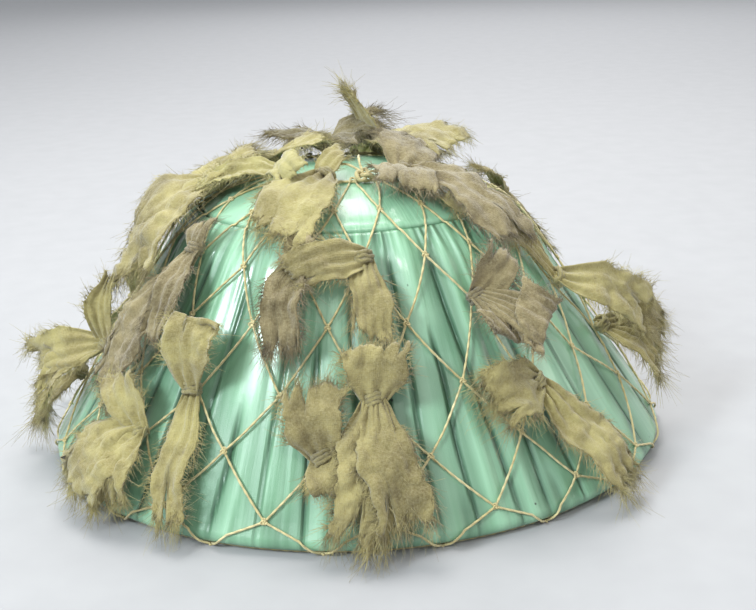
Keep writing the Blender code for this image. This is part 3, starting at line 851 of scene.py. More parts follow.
def cord_rings(path, outward, diameter, lobe=PLY_LOBE, sides=CORD_SIDES):
    """Rings of a two-ply cord, and its length; each ring's first side looks outward."""
    ahead = unit(np.gradient(path, axis=0))
    across = unit(np.cross(ahead, outward))
    rise = np.cross(across, ahead)
    steps = np.linalg.norm(np.diff(path, axis=0), axis=1)
    length = np.concatenate([[0], np.cumsum(steps)])
    angle = 2 * np.pi * np.arange(sides) / sides
    turned = angle[None, :] - np.pi * length[:, None] / PLY_LENGTH
    radius = diameter / 2 * (1 - lobe + lobe * np.cos(2 * turned))
    ring = radius[..., None] * (
        np.cos(angle)[None, :, None] * rise[:, None] + np.sin(angle)[None, :, None] * across[:, None]
    )
    return path[:, None] + ring, length[-1]


# %% The net's strands
STRAND_STEP = 0.0014
STRAND_SWAY = 0.0005
STRAND_SLACK = 0.0004
LOOP_STEPS = 15
LOOP_REACH = 0.0030
LOOP_RISE = CROWN_CORD + 0.0004


def strand(start, end, seed):
    """A strand's path from one place to another, each a turn and a slope."""
    length = np.linalg.norm(surface(*start) - surface(*end))
    share = np.linspace(0, 1, max(4, int(length / STRAND_STEP)))
    turn = start[0] + (end[0] - start[0]) * share
    slope = start[1] + (end[1] - start[1]) * share
    belly = np.sin(np.pi * share)
    sway = STRAND_SWAY * belly * noise(share * 2 + 0.5, seed, 61)
    radius = np.maximum(OUTLINE.at(slope)[0], 0.02)
    slack = STRAND_SLACK * (0.5 + 0.5 * noise(share * 5, seed + 0.5, 67)) * belly
    path = surface(turn + sway / radius, slope, net_lift(slope) + slack)
    return path, axes(turn, slope)[2]


def net_strands():
    """Pairs of places that a strand joins."""
    rows = ["T", *NET_ROWS, "G"]
    for index, (upper, lower) in enumerate(zip(rows, rows[1:])):
        shift = 0.5 * (index % 2)
        for i in range(NET_COLUMNS):
            column = i + shift
            for side in (-0.5, 0.5):
                turn, slope = knot_place(upper, column % NET_COLUMNS)
                turn += LOOP_TURN * 2 * side if upper == "T" else 0.0
                turn_b, slope_b = knot_place(lower, (column + side) % NET_COLUMNS)
                turn_b += 2 * math.pi * round((turn - turn_b) / (2 * math.pi))
                yield (turn, slope), (turn_b, slope_b)


def crown_loops():
    """Where two strands meet at the crown, they are one loop over the crown's cord."""
    share = np.linspace(-1, 1, LOOP_STEPS)
    over = 1 - share ** 2
    rise = LOOP_RISE * np.sin(np.pi * over / 1.6)
    for i in range(NET_COLUMNS):
        turn, slope = knot_place("T", i)
        turns = turn + LOOP_TURN * share
        slopes = slope - LOOP_REACH * over
        yield surface(turns, slopes, net_lift(slope) + rise), axes(turns, slopes)[2]


def cord_net(material):
    patches = Patches()
    for seed, (start, end) in enumerate(net_strands()):
        patches.rings(*cord_rings(*strand(start, end, seed), TIGHT_CORD))
    for path, outward in crown_loops():
        patches.rings(*cord_rings(path, outward, TIGHT_CORD))
    piece = patches.make("net")
    weld(piece)
    press_on_table(piece)
    return finish_piece(piece, material, "net_cord", "cord_net")


# %% [markdown]
# A net knot is a sheet bend, pulled tight: a lump of cord about twice as thick as the cord. One is
# drawn as a short three-lobed knot, and the same rule, turned to each knot's own axes, makes the rest.

# %% The net's knots
KNOT_SPREAD = 0.00050
KNOT_BULGE = 0.00045
KNOT_CORD = 0.0011
KNOT_RISE = 0.0003
KNOT_STEPS = 20
KNOT_SIDES = 6


def knot_path(middle, right, down, out, spread, bulge, steps, turned=0.0):
    """A three-lobed knot's closed path; spread and bulge are its size across and out of the face."""
    angle = np.linspace(0, 2 * np.pi, steps, endpoint=False) + turned
    across = np.sin(angle) + 2 * np.sin(2 * angle)
    along = np.cos(angle) - 2 * np.cos(2 * angle)
    depth = -np.sin(3 * angle)
    flat = spread * (across[:, None] * right + along[:, None] * down)
    path = middle + flat + bulge * depth[:, None] * out
    return np.concatenate([path, path[:1]])


def net_knots(material):
    patches = Patches()
    rng = np.random.default_rng(71)
    for index, row in enumerate([*NET_ROWS, "G"]):
        for i in range(NET_COLUMNS):
            turn, slope = knot_place(row, i + 0.5 * (1 - index % 2))
            down, along, out = axes(turn, slope)
            middle = surface(turn, slope, net_lift(slope) + KNOT_RISE)
            right, below = along * rng.uniform(0.85, 1.25), down * rng.uniform(0.85, 1.25)
            turned = rng.uniform(0, 2)
            path = knot_path(middle, right, below, out, KNOT_SPREAD, KNOT_BULGE, KNOT_STEPS, turned)
            patches.rings(*cord_rings(path, out, KNOT_CORD, sides=KNOT_SIDES))
    piece = patches.make("net_knots")
    weld(piece)
    press_on_table(piece)
    return finish_piece(piece, material, "net_cord")


# %% [markdown]
# ## The two draw cords
# One cord threads the top loops of the net and ends in a thick overhand knot with three loose ends. The
# other runs under the rim, where the helmet's weight presses it against the table.

# %% Draw cords
RING_STEPS = 460
RING_WAVE = 0.0006
RING_LIFT = 0.0004
RIM_STEPS = 620


def ring_cord(name, path, outward, diameter, material, node):
    patches = Patches()
    rings, length = cord_rings(path, outward, diameter)
    u = np.arange(CORD_SIDES + 1) / CORD_SIDES
    rings = np.concatenate([rings, rings[:1]])
    patches.grid(rings, u, np.linspace(0, length, len(rings)), closed=True)
    piece = patches.make(name)
    weld(piece)
    press_on_table(piece)
    return finish_piece(piece, material, "net_cord", node)


def crown_ring(material):
    turns = np.linspace(0, 2 * np.pi, RING_STEPS, endpoint=False)
    slope = CROWN_RING_SLOPE + RING_WAVE * noise(turns * 6 / np.pi, 0.0, 73, wrap=12)
    path = surface(turns, slope, cover_face(slope) + CROWN_CORD / 2 + RING_LIFT)
    return ring_cord("crown_drawcord", path, axes(turns, slope)[2], CROWN_CORD, material, "crown_cord")


def rim_ring(material):
    turns = np.linspace(0, 2 * np.pi, RIM_STEPS, endpoint=False)
    reach = (RIM_COVER + GAP + RIM_CORD / 2) * math.sin(RIM_CORD_ANGLE)
    radius = RIM_RADIUS - reach
    height = np.full_like(turns, RIM_CORD / 2 - GAP)
    path = np.stack([radius * np.sin(turns), -OVAL * radius * np.cos(turns), height], -1)
    outward = np.array((0.0, 0.0, -1.0))
    return ring_cord("rim_drawcord", path, outward, RIM_CORD, material, "rim_cord")


# %% The crown's knot
CROWN_KNOT_TURN = math.radians(12.6)
CROWN_KNOT_SPREAD = 0.0034 / 2.2
CROWN_KNOT_CORD = 0.0023
CROWN_KNOT_STEPS = 48
CROWN_TAIL_CORD = 0.0015
CROWN_TAIL_STEPS = 18
CROWN_TAIL_DROOP = 0.35
CROWN_TAILS = (
    # out, round, down, length, curl
    (0.55, 0.95, -0.10, 0.013, 0.3),
    (0.75, -0.75, -0.75, 0.017, -0.2),
    (0.85, -0.30, -0.75, 0.015, 0.4),
)


def crown_bow(material):
    down, along, out = axes(CROWN_KNOT_TURN, CROWN_RING_SLOPE)
    low = cover_face(0.0) + CROWN_CORD + 2 * GAP
    middle = surface(CROWN_KNOT_TURN, CROWN_RING_SLOPE, low + CROWN_KNOT_CORD)
    patches = Patches()
    path = knot_path(middle, along, down, out, CROWN_KNOT_SPREAD, CROWN_KNOT_SPREAD, CROWN_KNOT_STEPS)
    patches.rings(*cord_rings(path, out, CROWN_KNOT_CORD))
    share = np.linspace(0, 1, CROWN_TAIL_STEPS)[:, None]
    bent = share ** 2
    for rise, aside, below, length, curl in CROWN_TAILS:
        way = unit(rise * out + aside * along + below * down)
        side_way = np.cross(way, out)
        path = middle + length * (share * way + curl * bent * side_way - CROWN_TAIL_DROOP * bent * out)
        patches.rings(*cord_rings(path, side_way, CROWN_TAIL_CORD))
    piece = patches.make("drawcord_knot")
    weld(piece)
    return finish_piece(piece, material, "net_cord", "crown_knot")


# %% Cotton cord
def cord_finish():
    finish = Finish("net_cord")
    place = finish.coordinate("Object")
    across, along = finish.split_xy(finish.coordinate("UV", (2, 2 / PLY_LENGTH, 1)))
    twist = ((across * 2 - along) * math.pi).sine()
    stain = finish.noise(place, 60.0, 3.0)
    fuzz = finish.noise(place, 1500.0, 2.0)
    cream = finish.mix(stain.above(0.35, 0.75), (0.50, 0.42, 0.19), (0.68, 0.60, 0.34))
    finish.set(
        # Painted shade: the grooves between the two plies, where the twist sinks, are darkened.
        Base_Color=finish.mix(twist.above(0.1, 1.0) * 0.35, cream, (0.36, 0.29, 0.13)),
        Roughness=0.85,
        Normal=finish.bump(fuzz * 0.4 - twist * 0.5, 0.0003, 0.8),
    )
    finish.set(Sheen_Weight=0.25)
    return finish.material


cream = cord_finish()
cord_net(cream)
net_knots(cream)
crown_ring(cream)
rim_ring(cream)
crown_bow(cream)

# %% [markdown]
# ## The rags
# The rags are strips torn from loose cotton. Each is bunched where it is tied to a knot of the net, opens
# out along its tails, and ends in a fringe of its own threads. A cloth simulation would let them fall
# flat, and here many stand up stiffly, as old dirty cloth does. So each tail is a grid drawn by a rule:
# it leaves its knot in a heading, gathered in folds that open as it widens, then lifts, twists or
# curls, and its surface is crumpled by noise.
# A tail is steered on a plan of the helmet, seen from above and made round, where a straight line keeps
# its way over the crown as well as down the side.

# %% The plan of the helmet
FLARE_SPREAD = math.cos(FLARE_TILT)
FLOOR_REST = 0.0005
FLOOR_BLEND = 0.004
WAY_STEPS = 60
TABLE_SLOPES = np.linspace(0, OUTLINE.flare_end, 500)
TABLE_RADII = OUTLINE.at(TABLE_SLOPES)[0]


def slope_at(radius):
    inner = np.interp(radius, TABLE_RADII, TABLE_SLOPES)
    beyond = OUTLINE.flare_end + (radius - TABLE_RADII[-1]) / FLARE_SPREAD
    return np.where(radius > TABLE_RADII[-1], beyond, inner)


def spread_at(radius):
    """How fast the plan radius grows down the slope."""
    tilt = OUTLINE.at(np.minimum(slope_at(radius), OUTLINE.flare_end - 1e-6))[2]
    return np.cos(tilt)


def turned_left(way):
    return np.array((-way[1], way[0]))


def tail_way(start, heading, length, bend):
    """A tail's middle line on the plan, with the plan vector of one metre to its side."""
    turn, slope = start
    radius = float(OUTLINE.at(slope)[0])
    outward = np.array((math.sin(turn), -math.cos(turn)))
    spread = float(spread_at(radius))
    aim = spread * math.cos(heading) * outward + math.sin(heading) * turned_left(outward)
    point = radius * outward
    cosine, sine = math.cos(bend / WAY_STEPS), math.sin(bend / WAY_STEPS)
    middles = []
    sides = []
    for _ in range(WAY_STEPS + 1):
        radius = max(np.linalg.norm(point), 1e-6)
        outward = point / radius
        around = turned_left(outward)
        spread = float(spread_at(radius))
        real = np.array((aim @ outward / spread, aim @ around))
        size = np.linalg.norm(real)
        real = real / size
        middles.append(point)
        sides.append(-real[1] * spread * outward + real[0] * around)
        point = point + aim / size * length / WAY_STEPS
        aim = np.array((aim[0] * cosine - aim[1] * sine, aim[0] * sine + aim[1] * cosine))
    return np.array(middles), np.array(sides)


def draped(plan, lift):
    """Points over the helmet at plan points; past the rim they fall to the floor and run out along it."""
    radius = np.linalg.norm(plan, axis=-1)
    turn = np.arctan2(plan[..., 0], -plan[..., 1])
    slope = slope_at(radius)
    edge = OUTLINE.flare_end
    place = surface(turn, np.minimum(slope, edge), lift)
    down = unit(surface(turn, edge - 1e-6) - surface(turn, edge - 1e-4))
    past = np.maximum(slope - edge, 0.0)
    fall = np.minimum(past, np.maximum(0.0, (place[..., 2] - FLOOR_REST) / -down[..., 2]))
    outward = unit(down * np.array((1, 1, 0)))
    place = place + fall[..., None] * down + (past - fall)[..., None] * outward
    on_floor = smooth((past - fall) / FLOOR_BLEND)
    place[..., 2] = np.maximum(place[..., 2], FLOOR_REST + on_floor * 0.5 * (lift - cover_face(0.0)))
    return place


# %% [markdown]
# The table below is the dresser's list: which knot each rag is tied to, and how its tails lie. Only the
# heading, length, width and lift are given for every tail. The rest, such as a curl, a twist or a taper,
# is named where that tail shows it.

# %% What a tail can be told
def tail(heading, length, width, lift, **more):
    """Heading in degrees, 0 down the slope and 90 towards growing turn; sizes in millimetres."""
    values = {
        "bend": 0.0,  # degrees that the way turns by its end
        "belly": 3.0,  # how far its middle stands out
        "taper": 1.0,  # width of the end, as a share
        "twist": 0.0,  # degrees by the end
        "curl": 0.8,  # how far the side edges turn up
        "roll": 0.0,  # how far the end turns back over, as a share of the length
        "folds": 3,  # folds in the bunch at the knot
        "fringe": 8.0,  # length of the threads at the end
        "hairs": 220,
        "ribs": 0,  # cross folds
        "crumple": 1.0,
        "opens": 1.8,  # how soon it opens out past its knot
        "lean": 0.0,  # degrees that its whole width is tipped, its left edge down
    }
    values.update(more)
    values["heading"] = math.radians(heading)
    values.update(length=length / 1000, width=width / 1000, lift=lift / 1000)
    return values


# %% The rags on the crown
LIGHT, MID, BROWN, DARK, YELLOW = "light", "mid", "brown", "dark", "yellow"
CROWN_RAGS = {
    # name: (row, column, tone, tails)
    "spike": ("T", 8, LIGHT, [
        tail(140, 19, 30, 28, twist=12, taper=0.24, belly=0, fringe=9, bend=-20, opens=9.0, curl=2.5,
             hairs=300),
        tail(-112, 52, 38, 3, taper=0.9, belly=4, fringe=6, opens=6.0, curl=-1.0, crumple=1.5, lean=18),
    ]),
    "crown_fringe": ("T", 10, DARK, [
        tail(-118, 26, 24, 4, fringe=13, hairs=330, belly=4, lean=34, opens=5.0),
        tail(112, 27, 26, 3, fringe=9, hairs=260, belly=3, lean=-22, opens=4.0),
        tail(168, 30, 34, 3, fringe=9, hairs=260, belly=5, opens=4.0),
    ]),
    "crown_right": ("T", 2, BROWN, [
        tail(20, 60, 28, 4, fringe=8, belly=4, opens=2.6, crumple=1.4, hairs=300),
        tail(-46, 27, 26, 4, fringe=6, belly=5, opens=3.0),
        tail(125, 32, 28, 4, fringe=7, belly=4, opens=3.6, lean=12),
    ]),
    "crown_left": ("T", 18, LIGHT, [
        tail(-18, 46, 34, 3, fringe=9, hairs=360, belly=4, opens=2.4, crumple=1.2),
        tail(150, 16, 14, 6, fringe=4, hairs=60, opens=3.0),
    ]),
    "crown_ribbon": ("T", 16, YELLOW, [
        tail(82, 26, 17, 4, belly=5, ribs=9, fringe=3, hairs=60, opens=4, lean=30),
        tail(-50, 42, 16, 3, belly=4, ribs=17, fringe=4, hairs=120, opens=4, curl=2.5, lean=-14,
             taper=0.5),
    ]),
    "crown_strands": ("T", 13, LIGHT, [
        tail(6, 60, 24, 3, belly=4, folds=4, opens=1.6, fringe=14, hairs=340, curl=1.5, lean=-8),
        tail(58, 60, 28, 2, belly=3, fringe=12, hairs=340, curl=1.5, lean=-8, opens=1.8, crumple=1.6),
        tail(-160, 28, 22, 4, belly=3, fringe=8, lean=10),
    ]),
}

# %% The rags on the front
FRONT_RAGS = {
    "front_upper": ("B", 0, MID, [
        tail(-92, 33, 18, 5, belly=5, opens=3.2, fringe=6, curl=2, crumple=1.5),
        tail(-2, 40, 17, 4, belly=3, folds=4, opens=1.7, fringe=6),
    ]),
    "front_left": ("B", 18, BROWN, [
        tail(-2, 46, 16, 4, belly=6, opens=2.8, fringe=8, hairs=420, curl=4, crumple=1.4),
        tail(172, 12, 14, 3, fringe=4, hairs=80),
    ]),
    "front_centre": ("D", 0, MID, [
        tail(170, 25, 25, 8, belly=4, opens=2.2, fringe=5, curl=4, crumple=1.3),
        tail(-9, 67, 27, 4, belly=6, opens=2.2, fringe=10, hairs=460, crumple=1.6),
        tail(9, 60, 24, 8, belly=6, opens=2.0, fringe=9, hairs=340, crumple=1.5),
    ]),
    "front_lower": ("E", 18.5, MID, [
        tail(-174, 34, 25, 5, belly=5, opens=2.6, fringe=8, hairs=330, crumple=1.3),
        tail(26, 18, 20, 5, belly=4, opens=3.0, fringe=5),
    ]),
    "right_bow": ("C", 1.5, BROWN, [
        tail(142, 24, 17, 7, belly=5, opens=2.8, fringe=5, curl=3, crumple=1.3),
        tail(40, 50, 28, 6, belly=12, folds=5, opens=1.3, fringe=2, hairs=50, roll=0.45, curl=1,
             crumple=1.8),
        tail(8, 40, 20, 5, belly=9, folds=4, opens=1.5, fringe=3, hairs=60, roll=0.40, curl=1,
             crumple=1.8),
    ]),
    "right_lower": ("D", 2, LIGHT, [
        tail(-95, 30, 29, 5, belly=6, opens=2.8, fringe=10, hairs=460, curl=3, crumple=1.3),
        tail(22, 64, 25, 5, belly=5, opens=2.0, fringe=12, hairs=460, crumple=1.3),
    ]),
}

# %% The rags at the two sides
SIDE_RAGS = {
    "right_edge": ("C", 3.5, LIGHT, [
        tail(-162, 74, 15, 2, belly=1, opens=3.5, fringe=4, hairs=160),
        tail(38, 54, 24, 11, belly=8, opens=3.0, fringe=9, hairs=320, curl=3, crumple=1.4, lean=28),
    ]),
    "right_tuft": ("D", 4, LIGHT, [
        tail(52, 37, 22, 15, belly=4, opens=1.9, fringe=10, hairs=400, folds=4, curl=2, lean=30),
        tail(5, 36, 18, 10, belly=4, opens=1.8, fringe=11, hairs=320, folds=4, curl=2, lean=20),
    ]),
    "left_strip": ("D", 17, LIGHT, [
        tail(-174, 40, 25, 6, belly=10, opens=2.4, fringe=3, curl=5, roll=0.22, bend=-10, crumple=1.4),
        tail(8, 66, 16, 3, belly=2, opens=2.4, fringe=9, hairs=280),
    ]),
    "left_long": ("B", 16, BROWN, [
        tail(-12, 84, 26, 4, belly=5, folds=3, opens=2.0, fringe=8, hairs=280, curl=3, crumple=1.5),
        tail(14, 50, 15, 8, belly=7, opens=1.9, fringe=6, curl=4, hairs=160),
        tail(-178, 12, 16, 4, fringe=4, hairs=80),
    ]),
    "left_skirt": ("E", 16.5, LIGHT, [
        tail(-34, 44, 36, 6, belly=10, opens=2.8, fringe=9, hairs=460, curl=-2, crumple=1.6),
        tail(4, 38, 24, 5, belly=8, opens=2.4, fringe=8, hairs=320, crumple=1.5),
        tail(-140, 30, 22, 7, belly=7, opens=2.4, fringe=6, curl=3),
    ]),
    "left_leaf": ("D", 15, LIGHT, [
        tail(-165, 34, 17, 15, belly=3, opens=3.2, fringe=3, hairs=90, taper=0.3, curl=3, lean=62),
        tail(-42, 36, 22, 15, belly=6, opens=2.6, fringe=8, hairs=220, curl=4, crumple=1.6, lean=-35),
        tail(-12, 42, 18, 12, belly=5, opens=2.4, fringe=8, hairs=200, curl=4, crumple=1.3, lean=-20),
    ]),
    "left_end": ("E", 14.5, MID, [
        tail(6, 34, 20, 4, belly=4, opens=2.2, fringe=11, hairs=380, curl=2, folds=3, lean=-16),
        tail(165, 12, 12, 4, fringe=5, hairs=80),
    ]),
    "left_shoulder": ("A", 14.5, MID, [
        tail(-4, 46, 30, 6, belly=6, opens=2.6, fringe=10, taper=0.4, curl=2, hairs=300, lean=-18),
        tail(28, 62, 36, 4, belly=4, opens=2.4, fringe=11, hairs=360, crumple=1.8, lean=-8),
        tail(-165, 24, 22, 5, belly=3, fringe=8, lean=12),
    ]),
}

# %% The rags behind, plainer because no picture shows them
BACK_RAGS = {
    "back_a": ("B", 6, MID, [tail(170, 16, 18, 2), tail(4, 46, 24, 2, belly=1.5, opens=2.4, fringe=8)]),
    "back_b": ("D", 7, LIGHT, [tail(170, 30, 24, 12, curl=3), tail(-6, 58, 27, 8, opens=2.2, fringe=10)]),
    "back_c": ("B", 9, LIGHT, [tail(-160, 26, 24, 9), tail(8, 48, 24, 8, opens=2.4)]),
    "back_d": ("D", 10, MID, [tail(-170, 30, 27, 10, curl=3), tail(-4, 72, 30, 12, opens=2.2, hairs=320)]),
    "back_e": ("B", 12, MID, [tail(160, 24, 21, 9), tail(-8, 48, 24, 8, opens=2.2)]),
    "back_f": ("D", 13, LIGHT, [tail(175, 34, 24, 12, curl=3), tail(4, 64, 27, 8, opens=2.2, hairs=300)]),
}
RAGS = {**CROWN_RAGS, **FRONT_RAGS, **SIDE_RAGS, **BACK_RAGS}
print("rags:", len(RAGS), "tails:", sum(len(entry[3]) for entry in RAGS.values()))

# %% A tail's grid
CLOTH_WALL = 0.0006
RAG_SEAT = 0.0003
TAIL_COLUMNS = 25
TAIL_STEP = 0.0016
LEAST_ROWS = 12
BUNCH_WIDTH = 0.008
LEAST_WIDTH = 0.003
OPENING_POWER = 1.6
TAPER_START = 0.35
END_SLANT = 0.45  # how far the torn end can slant, as a share of the width
END_JAGS = 0.0013
SLIT_DEPTHS = (0.08, 0.30)  # shares of the length
SLIT_WIDTH = 0.042
FOLD_LIMIT = 0.0026
OPEN_FOLD = 0.0004  # height of the folds where the tail is open
BILLOW = 0.0022
RIB_HEIGHT = 0.0005
ROLL_RADIUS = 0.0022
WAY_SPARE = 1.25  # the middle line is longer than the tail, because the torn end is uneven


def fold_height(full, width, folds):
    """How high folds stand when cloth of the full width is pushed into a smaller one."""
    fullness = np.maximum(full / width, 1.0)
    return width / (2 * math.pi * folds) * np.sqrt(2 * (fullness ** 2 - 1))


class Tail:
    """A tail's grid: its rows run from the knot to the torn end, and its columns across."""

    def __init__(self, plan, seed):
        self.plan = plan
        self.seed = seed
        self.length = plan["length"]
        rows = max(LEAST_ROWS, int(self.length / TAIL_STEP))
        self.share = np.linspace(0, 1, rows)[:, None]
        self.across = np.linspace(-0.5, 0.5, TAIL_COLUMNS)[None, :]
        self.side = np.sign(self.across)
        self.distance = self.length * self.share + self.torn_end() * self.share ** 3
        self.opened = 1 - (1 - np.clip(self.share * plan["opens"], 0, 1)) ** OPENING_POWER
        tapered = 1 - (1 - plan["taper"]) * smooth((self.share - TAPER_START) / (1 - TAPER_START))
        self.full = plan["width"] * tapered
        opening = BUNCH_WIDTH + (self.full - BUNCH_WIDTH) * self.opened
        self.width = np.minimum(opening, np.maximum(self.full, LEAST_WIDTH))

    def noise(self, x, y, number):
        return noise(x, y, self.seed + number)

    def torn_end(self):
        """How much further each column runs: the end is slanted and jagged, and has two slits."""
        rng = np.random.default_rng(self.seed)
        torn = 0.05 * self.length * self.noise(self.across * 5, 0.0, 0)
        torn = torn + rng.uniform(-END_SLANT, END_SLANT) * self.plan["width"] * self.across
        torn = torn + rng.uniform(-END_JAGS, END_JAGS, TAIL_COLUMNS)[None, :]
        for slit in rng.uniform(-0.42, 0.42, 2):
            depth = rng.uniform(*SLIT_DEPTHS) * self.length
            torn = torn - depth * np.exp(-(((self.across - slit) / SLIT_WIDTH) ** 2))
        return torn

    def sideways(self):
        """How far each point lies from the middle line; both side edges are ragged."""
        broad = 0.11 * self.noise(self.distance / 0.011, self.side + 5, 1) * self.opened
        fine = 0.08 * self.noise(self.distance / 0.0022, self.side + 15, 8) * self.opened
        drift = 0.0028 * self.noise(self.distance / 0.022, 0.0, 7) * self.opened
        return self.across * self.width * (1 + broad + fine) + drift

    def folds(self):
        """The folds that leave the bunch and flatten as the tail opens."""
        count = self.plan["folds"]
        fold = fold_height(np.maximum(self.full, BUNCH_WIDTH), np.maximum(self.width, 0.004), count)
        fold = np.minimum(fold, FOLD_LIMIT) * (1 - 0.5 * self.opened) + OPEN_FOLD * self.opened
        bend = 2.5 * self.noise(self.distance / 0.03, 0.0, 2)
        phase = bend + 1.6 * self.noise(self.across * 2 + 9, self.distance / 0.02, 9)
        return fold * (1 + np.cos(2 * np.pi * count * self.across + phase))

    def crumples(self, sideways):
        """Creases in three sizes."""
        down = self.distance
        large = 0.0016 * np.abs(self.noise(sideways / 0.008 + 20 + down / 0.02, down / 0.010, 3))
        medium = 0.0012 * np.abs(self.noise(sideways / 0.0045 + 20, down / 0.006, 4))
        small = 0.0003 * self.noise(sideways / 0.0019 + 20, down / 0.0024, 5)
        height = large + medium - 0.0006 + small + 0.0013
        return self.plan["crumple"] * height * (0.35 + 0.65 * self.opened)

    def curl(self):
        uneven = 0.6 + 0.4 * self.noise(self.distance / 0.02, self.side, 6)
        return self.plan["curl"] / 1000 * (2 * self.across) ** 2 * self.opened * uneven

    def billow(self):
        return BILLOW * self.share * (1 + self.noise(self.across * 2.4 + 9, self.distance / 0.012, 10))

    def rolled(self, rise):
        """Distance and rise of an end that turns back over, up and back on a small arc past a crease."""
        crease = 1 - self.plan["roll"] * (1 + 0.4 * self.noise(self.across * 2 + 7, 0.0, 11))
        over = np.maximum(self.share - crease, 0) * self.length
        radius = ROLL_RADIUS * (1 + 0.5 * self.noise(self.across * 3 + 7, 0.0, 12))
        angle = np.minimum(over / radius, math.pi)
        back = radius * np.sin(angle) - np.maximum(over - math.pi * radius, 0)
        slanted = back * (0.9 + 0.2 * (self.across + 0.5))
        distance = np.minimum(self.distance, self.length * crease) + slanted
        return distance, rise + radius * (1 - np.cos(angle)) + 0.0012 * smooth(over / 0.01)

    def on_plan(self, start, distance):
        """The middle line's points on the plan, and the plan vector of one metre to its side."""
        reach = self.length * WAY_SPARE
        middles, sides = tail_way(start, self.plan["heading"], reach, math.radians(self.plan["bend"]))
        marks = np.linspace(0, reach, len(middles))
        walk = distance - 0.003 * (1 - self.share) ** 6
        centre = np.stack([np.interp(walk, marks, middles[:, k]) for k in (0, 1)], -1)
        centre = centre + np.minimum(walk, 0)[..., None] * (middles[1] - middles[0]) / marks[1]
        beside = np.stack([np.interp(walk, marks, sides[:, k]) for k in (0, 1)], -1)
        return centre, beside

    def points(self, start):
        plan, share, opened = self.plan, self.share, self.opened
        sideways = self.sideways()
        ribs = RIB_HEIGHT * np.sin(2 * np.pi * plan["ribs"] * share) * opened
        stand = self.folds() + self.crumples(sideways) + ribs + self.curl() + self.billow()
        twist = math.radians(plan["twist"]) * share + math.radians(plan["lean"]) * opened
        aside = sideways * np.cos(twist) - stand * np.sin(twist)
        stand = stand * np.cos(twist) + sideways * np.sin(twist) + np.abs(np.sin(twist)) * self.width / 2
        rise = plan["lift"] * share ** 1.25 + plan["belly"] / 1000 * np.sin(np.pi * share) ** 0.8
        distance = self.distance
        if plan["roll"]:
            distance, rise = self.rolled(rise)
        centre, beside = self.on_plan(start, distance)
        lift = cover_face(np.minimum(slope_at(np.linalg.norm(centre, axis=-1)), OUTLINE.flare_end))
        seat = lift + NET_CORD + RAG_SEAT + CLOTH_WALL / 2
        return draped(centre + aside[..., None] * beside, seat + np.maximum(stand, 0.0) + rise)


def tail_grid(start, plan, seed):
    """A tail's points, and its UV lines across and down."""
    cloth = Tail(plan, seed)
    u = plan["width"] * (cloth.across[0] + 0.5)
    return cloth.points(start), u, plan["length"] * cloth.share[:, 0]


# %% The cloth wound round the knot
WRAP_TURNS = 2.6
WRAP_RADIUS = 0.0033
WRAP_CLOTH = 0.0030
WRAP_LOBE = 0.2
WRAP_WIDTH = 0.0048
WRAP_STRAY = 0.0004
WRAP_SEAT = 0.0006
WRAP_STEPS = 44


def knot_wrap(start, heading, seed):
    """A strip wound round the bunch: its path, and the direction of the bunch."""
    turn, slope = start
    down, along, out = axes(turn, slope)
    way = math.cos(heading) * down + math.sin(heading) * along
    aside = np.cross(out, way)
    low = cover_face(slope) + NET_CORD + RAG_SEAT
    middle = surface(turn, slope, low + WRAP_RADIUS + WRAP_SEAT)
    angle = np.linspace(0, 2 * np.pi * WRAP_TURNS, WRAP_STEPS)[:, None]
    radius = WRAP_RADIUS * (1 + 0.12 * noise(angle / 1.5, 0.0, seed))
    stray = np.random.default_rng(seed).uniform(-WRAP_STRAY, WRAP_STRAY, (WRAP_STEPS, 1))
    shift = (angle / (2 * np.pi) / WRAP_TURNS - 0.5) * WRAP_WIDTH + stray
    path = middle + radius * (1.25 * np.cos(angle) * aside + 0.9 * np.sin(angle) * out) + shift * way
    return path, way


# %% [markdown]
# ### Frayed threads
# A torn edge of loose cotton lets go of its threads, and from a few steps away they look like fur. Each
# is a hair-thin tube with three sides and a few joints, so that some hundreds of them stay light. They
# start in the torn end and, shorter, along both sides.

# %% Threads of one tail
THREAD_RADIUS = 0.00013
THREAD_SIDES = 3
THREAD_TIP = 0.35  # thickness of a thread's end, as a share
THREAD_STRAY = 0.34
THREAD_SWERVE = 0.70
THREAD_DROOP = 0.45
EDGE_THREADS = 4000  # to the metre, along both sides
LONG_JOINTS = 4
SHORT_JOINTS = 3
THREAD_CLEARANCE = 0.0006
LONG_THREADS = (0.25, 1.1)  # shares of the tail's fringe
SHORT_THREADS = (0.0014, 0.0058)


def keep_outside(points):
    """Lift thread points that fall into the helmet or under the floor."""
    radius = np.hypot(points[..., 0], points[..., 1] / OVAL)
    slope = np.minimum(slope_at(radius), OUTLINE.flare_end)
    _, height, tilt = OUTLINE.at(slope)
    floor = height + (cover_face(slope) + THREAD_CLEARANCE) / np.cos(tilt)
    low = np.where(radius < TABLE_RADII[-1], floor, THREAD_RADIUS)
    points[..., 2] = np.maximum(points[..., 2], low)
    return points


def loose_ends(base, way, length, joints, rng):
    """Threads that leave base in a way, stray a little and droop."""
    count = len(base)
    way = unit(way + rng.normal(0, THREAD_STRAY, (count, 3)))
    swerve = rng.normal(0, THREAD_SWERVE, (count, 3)) - np.array((0, 0, THREAD_DROOP))
    share = np.linspace(0, 1, joints)[None, :, None]
    curve = share * way[:, None] + 0.5 * share ** 2 * swerve[:, None]
    return keep_outside(base[:, None] + length[:, None, None] * curve)


def between_columns(points, row, column):
    """Points on a grid's rows, at places between its columns."""
    left = column.astype(int)
    part = (column - left)[:, None]
    return points[row, left] * (1 - part) + points[row, left + 1] * part


